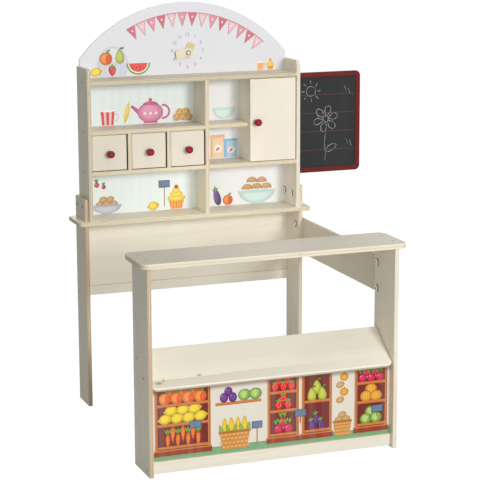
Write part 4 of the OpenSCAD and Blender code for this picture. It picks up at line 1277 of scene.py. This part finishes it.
# %% Paint
paint_group, g_in, g_out = new_group("brushed_paint", ("Color", "Roughness", "Height"),
                                     Color=(176, 12, 40), Worn=(190, 28, 54))
mottle = stretched_noise(paint_group, g_in["Vector"], 160, 160, 3)
speck = stretched_noise(paint_group, g_in["Vector"], 1400, 1400, 2)
paint_group.links.new(stain(paint_group, g_in["Color"], mottle, 0.4, 0.75, 0.5, g_in["Worn"]), g_out["Color"])
paint_group.links.new(scaled(paint_group, mottle, 0.2, 0.22), g_out["Roughness"])
paint_group.links.new(scaled(paint_group, speck, 0.4, mottle), g_out["Height"])

def paint_material(name, colour, worn):
    material = group_material(name, paint_group, object_place, (0.12, 0.0003), Color=colour, Worn=worn)
    dull_gloss(material)
    return material

knob_paint = paint_material("knob_red", (176, 12, 40), (190, 28, 54))
knob_shade_rim_paint = paint_material("knob_red_painted_shade_rim", (100, 4, 18), (120, 8, 26))
frame_paint = paint_material("slate_frame_red", (106, 24, 26), (126, 36, 34))
print("paint nodes:", len(paint_group.nodes))

# %% Turn one knob and copy it
PROFILE = [(0.0045, 0.0), (0.0045, 0.004), (0.0045, 0.0070), (0.0052, 0.0076), (0.0078, 0.0076),
           (0.0090, 0.0084), (0.0090, 0.0104), (0.0090, 0.0154), (0.0090, 0.0172), (0.0080, 0.0180),
           (0.0060, 0.0180)]
FACE_R, NECK = 0.0056, 0.012

def extrude_ring(forwards, share, distance):
    """Pulls the open ring along -Y and scales it about the axis."""
    bpy.ops.mesh.extrude_region_move(TRANSFORM_OT_translate={"value": (0, -forwards, 0)})
    bpy.ops.transform.resize(value=(share, 1, share), center_override=(0, -distance, 0))

def turn_knob():
    """A knob along -Y with its foot at the origin. PROFILE is (radius, distance from the foot)."""
    bpy.ops.object.select_all(action="DESELECT")
    bpy.ops.mesh.primitive_circle_add(
        vertices=32, radius=PROFILE[0][0], fill_type="NOTHING", rotation=(math.pi / 2, 0, 0))
    obj = bpy.context.object
    bpy.ops.object.transform_apply(location=True, rotation=True, scale=True)
    bpy.ops.object.mode_set(mode="EDIT")
    bpy.ops.mesh.select_all(action="SELECT")
    for (r0, d0), (r1, d1) in zip(PROFILE, PROFILE[1:]):
        extrude_ring(d1 - d0, r1 / r0, d1)
    extrude_ring(0, 0.2, PROFILE[-1][1])
    bpy.ops.mesh.edge_face_add()
    bpy.ops.mesh.select_all(action="SELECT")
    bpy.ops.mesh.fill_holes(sides=64)
    bpy.ops.mesh.normals_make_consistent(inside=False)
    bpy.ops.object.mode_set(mode="OBJECT")
    use_modifier(obj, "SUBSURF", levels=1, render_levels=1)
    bpy.ops.object.shade_smooth()
    return obj

knob = turn_knob()
dress(knob, knob_paint, knob_shade_rim_paint)
# Faces off the flat front take the dark rim paint: painted shade on the knob's sides and rim.
for face in knob.data.polygons:
    on_face = math.hypot(face.center.x, face.center.z) <= FACE_R and face.center.y <= -NECK
    face.material_index = 0 if on_face else 1
for node in ("door_knob", "drawer_left_knob", "drawer_middle_knob", "drawer_right_knob"):
    lo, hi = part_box(node)
    foot = ((lo.x + hi.x) / 2, hi.y, (lo.z + hi.z) / 2)
    seat(copy_of(knob, node + "_turned", Matrix.Translation(foot)), node)
bpy.data.objects.remove(knob)
print("knobs turned")

# %% [markdown]
# ## Slate
#
# The frame is a flat ring with round outer corners: a plate whose corners are bevelled, with the window cut
# out. The slate itself is a thin dull board, a little dusty from wiped chalk.

# %% Slate frame and slate
CORNER_R, BAND, OVER = 0.013, 0.013, 0.01
lo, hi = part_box("slate_frame")
ring = block("slate_frame_ring", lo, hi)
round_edges(ring, lambda middle, direction: abs(direction.y) > 0.9, CORNER_R)
inset = Vector((BAND, -OVER, BAND))
cut_away(ring, block("cutter", lo + inset, hi - inset))
soften(ring, 0.0012, 3)
cut_away(ring, block("cutter", *grown("slate")))
flat_normals(ring)
dress(ring, frame_paint)
seat(ring, "slate_frame")

slate_board = block("slate_plate", *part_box("slate"))
soften(slate_board, 0.0003, 1)
board_paint, tree, shader = new_material("blackboard")
place = object_place(tree)
dust = stretched_noise(tree, place, 9, 9, 4, 0.7)
wipe = stretched_noise(tree, place, 14, 60, 3, 0.6, 0.5)
grit = stretched_noise(tree, place, 900, 900, 2)
dusty = times(tree, step_between(tree, scaled(tree, wipe, 0.4, dust), 0.55, 0.95), 0.35)
tree.links.new(blend_colour(tree, dusty, (44, 45, 47), (66, 67, 68)), shader.inputs["Base Color"])
tree.links.new(scaled(tree, grit, 0.2, 0.6), shader.inputs["Roughness"])
add_bump(tree, shader, grit, 0.3, 0.0002)
dull_gloss(board_paint)
dress(slate_board, board_paint)
seat(slate_board, "slate")
print("slate done")

# %% [markdown]
# Four thin red lines are painted across the slate, and a child has drawn on it with chalk. The chalk uses
# the ink sheets again: each stroke is a thin band, with a gritty noise that lets the slate show through.

# %% Lines and chalk
chalk, tree, shader = new_material("chalk", 0.9)
place = object_place(tree)
skips = stretched_noise(tree, place, 700, 700, 3)
patchy = stretched_noise(tree, place, 60, 60, 2)
worn = step_between(tree, scaled(tree, patchy, 0.5, skips), 0.62, 0.92)
tree.links.new(blend_colour(tree, worn, ink_colour(tree), (74, 75, 76)), shader.inputs["Base Color"])
tree.links.new(scaled(tree, skips, 0.2, 0.7), shader.inputs["Roughness"])

random.seed(3)
SLATE_LO, SLATE_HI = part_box("slate")
slate_w = (SLATE_HI.x - SLATE_LO.x) * 1000
marks = []
for z in (748, 700, 651.5, 603):
    dab(marks, bar(6, z - 0.6, slate_w - 6, z + 0.6), (138, 44, 44), 1)

def stroke(points, width=2.0, grey=176):
    """A chalk stroke that wavers a little."""
    shaky = [(x + random.uniform(-0.6, 0.6), z + random.uniform(-0.6, 0.6)) for x, z in points]
    dab(marks, line(shaky, width), (grey, grey + 2, grey), 2)

PETAL = [(8, -1), (22, -9), (33, -5), (35, 2), (30, 8), (20, 8), (8, 1)]
for turn in range(15, 375, 60):
    stroke(turned(PETAL, 112, 684, turn))
stroke(arc(112, 684, 15, 15, 0, 350, 16))
stroke([(112, 648), (108, 622), (112, 596), (110, 574)])
stroke(turned([(0, 0), (14, 9), (30, 8), (38, 0), (26, -6), (12, -5), (0, 0)], 111, 596, 30))
stroke(arc(70, 758, 26, 26, 20, 372, 18), 1.7)
for turn in range(0, 360, 45):
    stroke(turned([(18, 0), (28, 1)], 70, 758, turn), 1.7)
for x, z in ((166, 770), (176, 762), (170, 630), (181, 624)):
    stroke([(x, z), (x + 5, z - 15)], 1.7, 160)
print_sheet("slate_marks", marks, (SLATE_LO.x, 0), SLATE_LO.y, chalk)

# %% [markdown]
# ## Metal and hands
#
# Screws, pins and the clock's pivot keep their CAD shapes. Pins and the pivot have a zinc plating, a pale
# metal with a fine uneven shine, and screws and inserts are dark steel. On the pivot's head a dark ring is
# painted into the material as the shade of a groove, round its bright middle.

# %% Metal fittings
def metal_material(name, size, low, high, metallic):
    """Metal in two tones; returns the material, its tree, its shader and the noise between the tones."""
    material, tree, shader = new_material(name, 0.45)
    blotch = stretched_noise(tree, object_place(tree), size, size, 3)
    tree.links.new(blend_colour(tree, blotch, low, high), shader.inputs["Base Color"])
    shader.inputs["Metallic"].default_value = metallic
    return material, tree, shader, blotch

zinc, tree, shader = metal_material("zinc_plate", 300, (168, 166, 160), (196, 194, 186), 0.3)[:3]
place = object_place(tree)
# The dark ring is painted shade where a groove would be; the bright middle lies inside it.
for radius, colour in ((0.0098, (84, 70, 56)), (0.0050, (240, 236, 228))):
    tint_over(zinc, spot(tree, place, DIAL, (radius, 0.1, radius)), colour)
scratch = stretched_noise(tree, place, 60, 2500, 2)
tree.links.new(scaled(tree, scratch, 0.25, 0.35), shader.inputs["Roughness"])
dark_steel = metal_material("dark_steel", 500, (62, 60, 56), (96, 92, 84), 0.6)[0]
fittings = [n for n, slot in node_slot.items() if slot == "steel"]
for node in fittings:
    dress(frame["nodes"][node], dark_steel if node.endswith(("screws", "inserts")) else zinc)
print("metal fittings:", len(fittings))

# %% [markdown]
# The connector bolts have a wide flat head with a hexagon socket. One is modelled: a disc whose rim is
# bevelled, a socket cut into it and a shank behind it. Copies are turned so that the head looks into the
# stall.

# %% Model one connector bolt
HEAD_R, HEAD_T, SHANK_R, SOCKET_R, SOCKET_D = 0.0085, 0.004, 0.003, 0.0025, 0.0026
bolt_boxes = loose_boxes("connector_bolts")
BOLT_L = bolt_boxes[0][1].x - bolt_boxes[0][0].x

def disc(x0, x1, radius, sides=40):
    """A cylinder along X, from x0 to x1."""
    bpy.ops.object.select_all(action="DESELECT")
    bpy.ops.mesh.primitive_cylinder_add(vertices=sides, radius=radius, depth=x1 - x0,
                                        location=((x0 + x1) / 2, 0, 0), rotation=(0, math.pi / 2, 0))
    bpy.ops.object.transform_apply(location=True, rotation=True, scale=True)
    return bpy.context.object

def bolt_plating(name, low, high):
    material, tree, shader, blotch = metal_material(name, 400, low, high, 0.2)
    tree.links.new(scaled(tree, blotch, 0.2, 0.35), shader.inputs["Roughness"])
    return material

bolt = disc(0, HEAD_T, HEAD_R)
rim = lambda middle, direction: middle.x < 0.0001 and abs(direction.x) < 0.1
print("rim edges:", round_edges(bolt, rim, 0.0009, 3))
cut_away(bolt, disc(-0.001, SOCKET_D, SOCKET_R, 6))
bolt = joined([bolt, disc(HEAD_T, BOLT_L, SHANK_R, 20)])
smooth(bolt, 35)
dress(bolt, bolt_plating("bolt_plate", (234, 230, 219), (247, 244, 235)), dark_steel,
      bolt_plating("bolt_side_painted_shade", (120, 112, 96), (142, 134, 116)))
HEAD, SOCKET, SIDE = 0, 1, 2
# The socket's inside is painted dark as shade in the recess, and what lies behind the head's bright front is
# painted dark as shade.
for face in bolt.data.polygons:
    out = math.hypot(face.center.y, face.center.z)
    inside = out < SOCKET_R * 1.01 and 0.0002 < face.center.x < SOCKET_D + 0.0001
    face.material_index = SOCKET if inside else SIDE if face.center.x > 0.001 else HEAD

# %% Copy the bolt to its places
copies = []
for lo, hi in bolt_boxes:
    middle = (lo + hi) / 2
    to_right = middle.x > WALL_X
    turn = Matrix.Identity(4) if to_right else Matrix.Rotation(math.pi, 4, "Z")
    head = Matrix.Translation((lo.x if to_right else hi.x, middle.y, middle.z))
    copies.append(copy_of(bolt, "bolt_copy", head @ turn))
bpy.data.objects.remove(bolt)
bolts = joined(copies)
bolts.name = "connector_bolts_turned"
seat(bolts, "connector_bolts")
print("bolts:", len(bolt_boxes), "length:", round(BOLT_L, 4))

# %% [markdown]
# The clock's hands are small pieces of the same birch, and so are the dowels.

# %% Clock hands and dowels in birch
def solid_birch(name, pale, streak):
    """Birch for a small CAD piece, which has no grain map: its grain follows the object's own axes."""
    return group_material(name, veneer, object_place, Pale=pale, Streak=streak)

tan_birch = solid_birch("birch_tan", (222, 192, 150), (204, 168, 124))
light_birch = solid_birch("birch_light", (234, 222, 194), (220, 202, 166))
for node, material in (("hour_hand", tan_birch), ("minute_hand", light_birch), ("shelf_dowels", tan_birch)):
    dress(frame["nodes"][node], material)
print("hands done")

# %% [markdown]
# ## Finish

# %% Finish
bpy.context.view_layer.update()
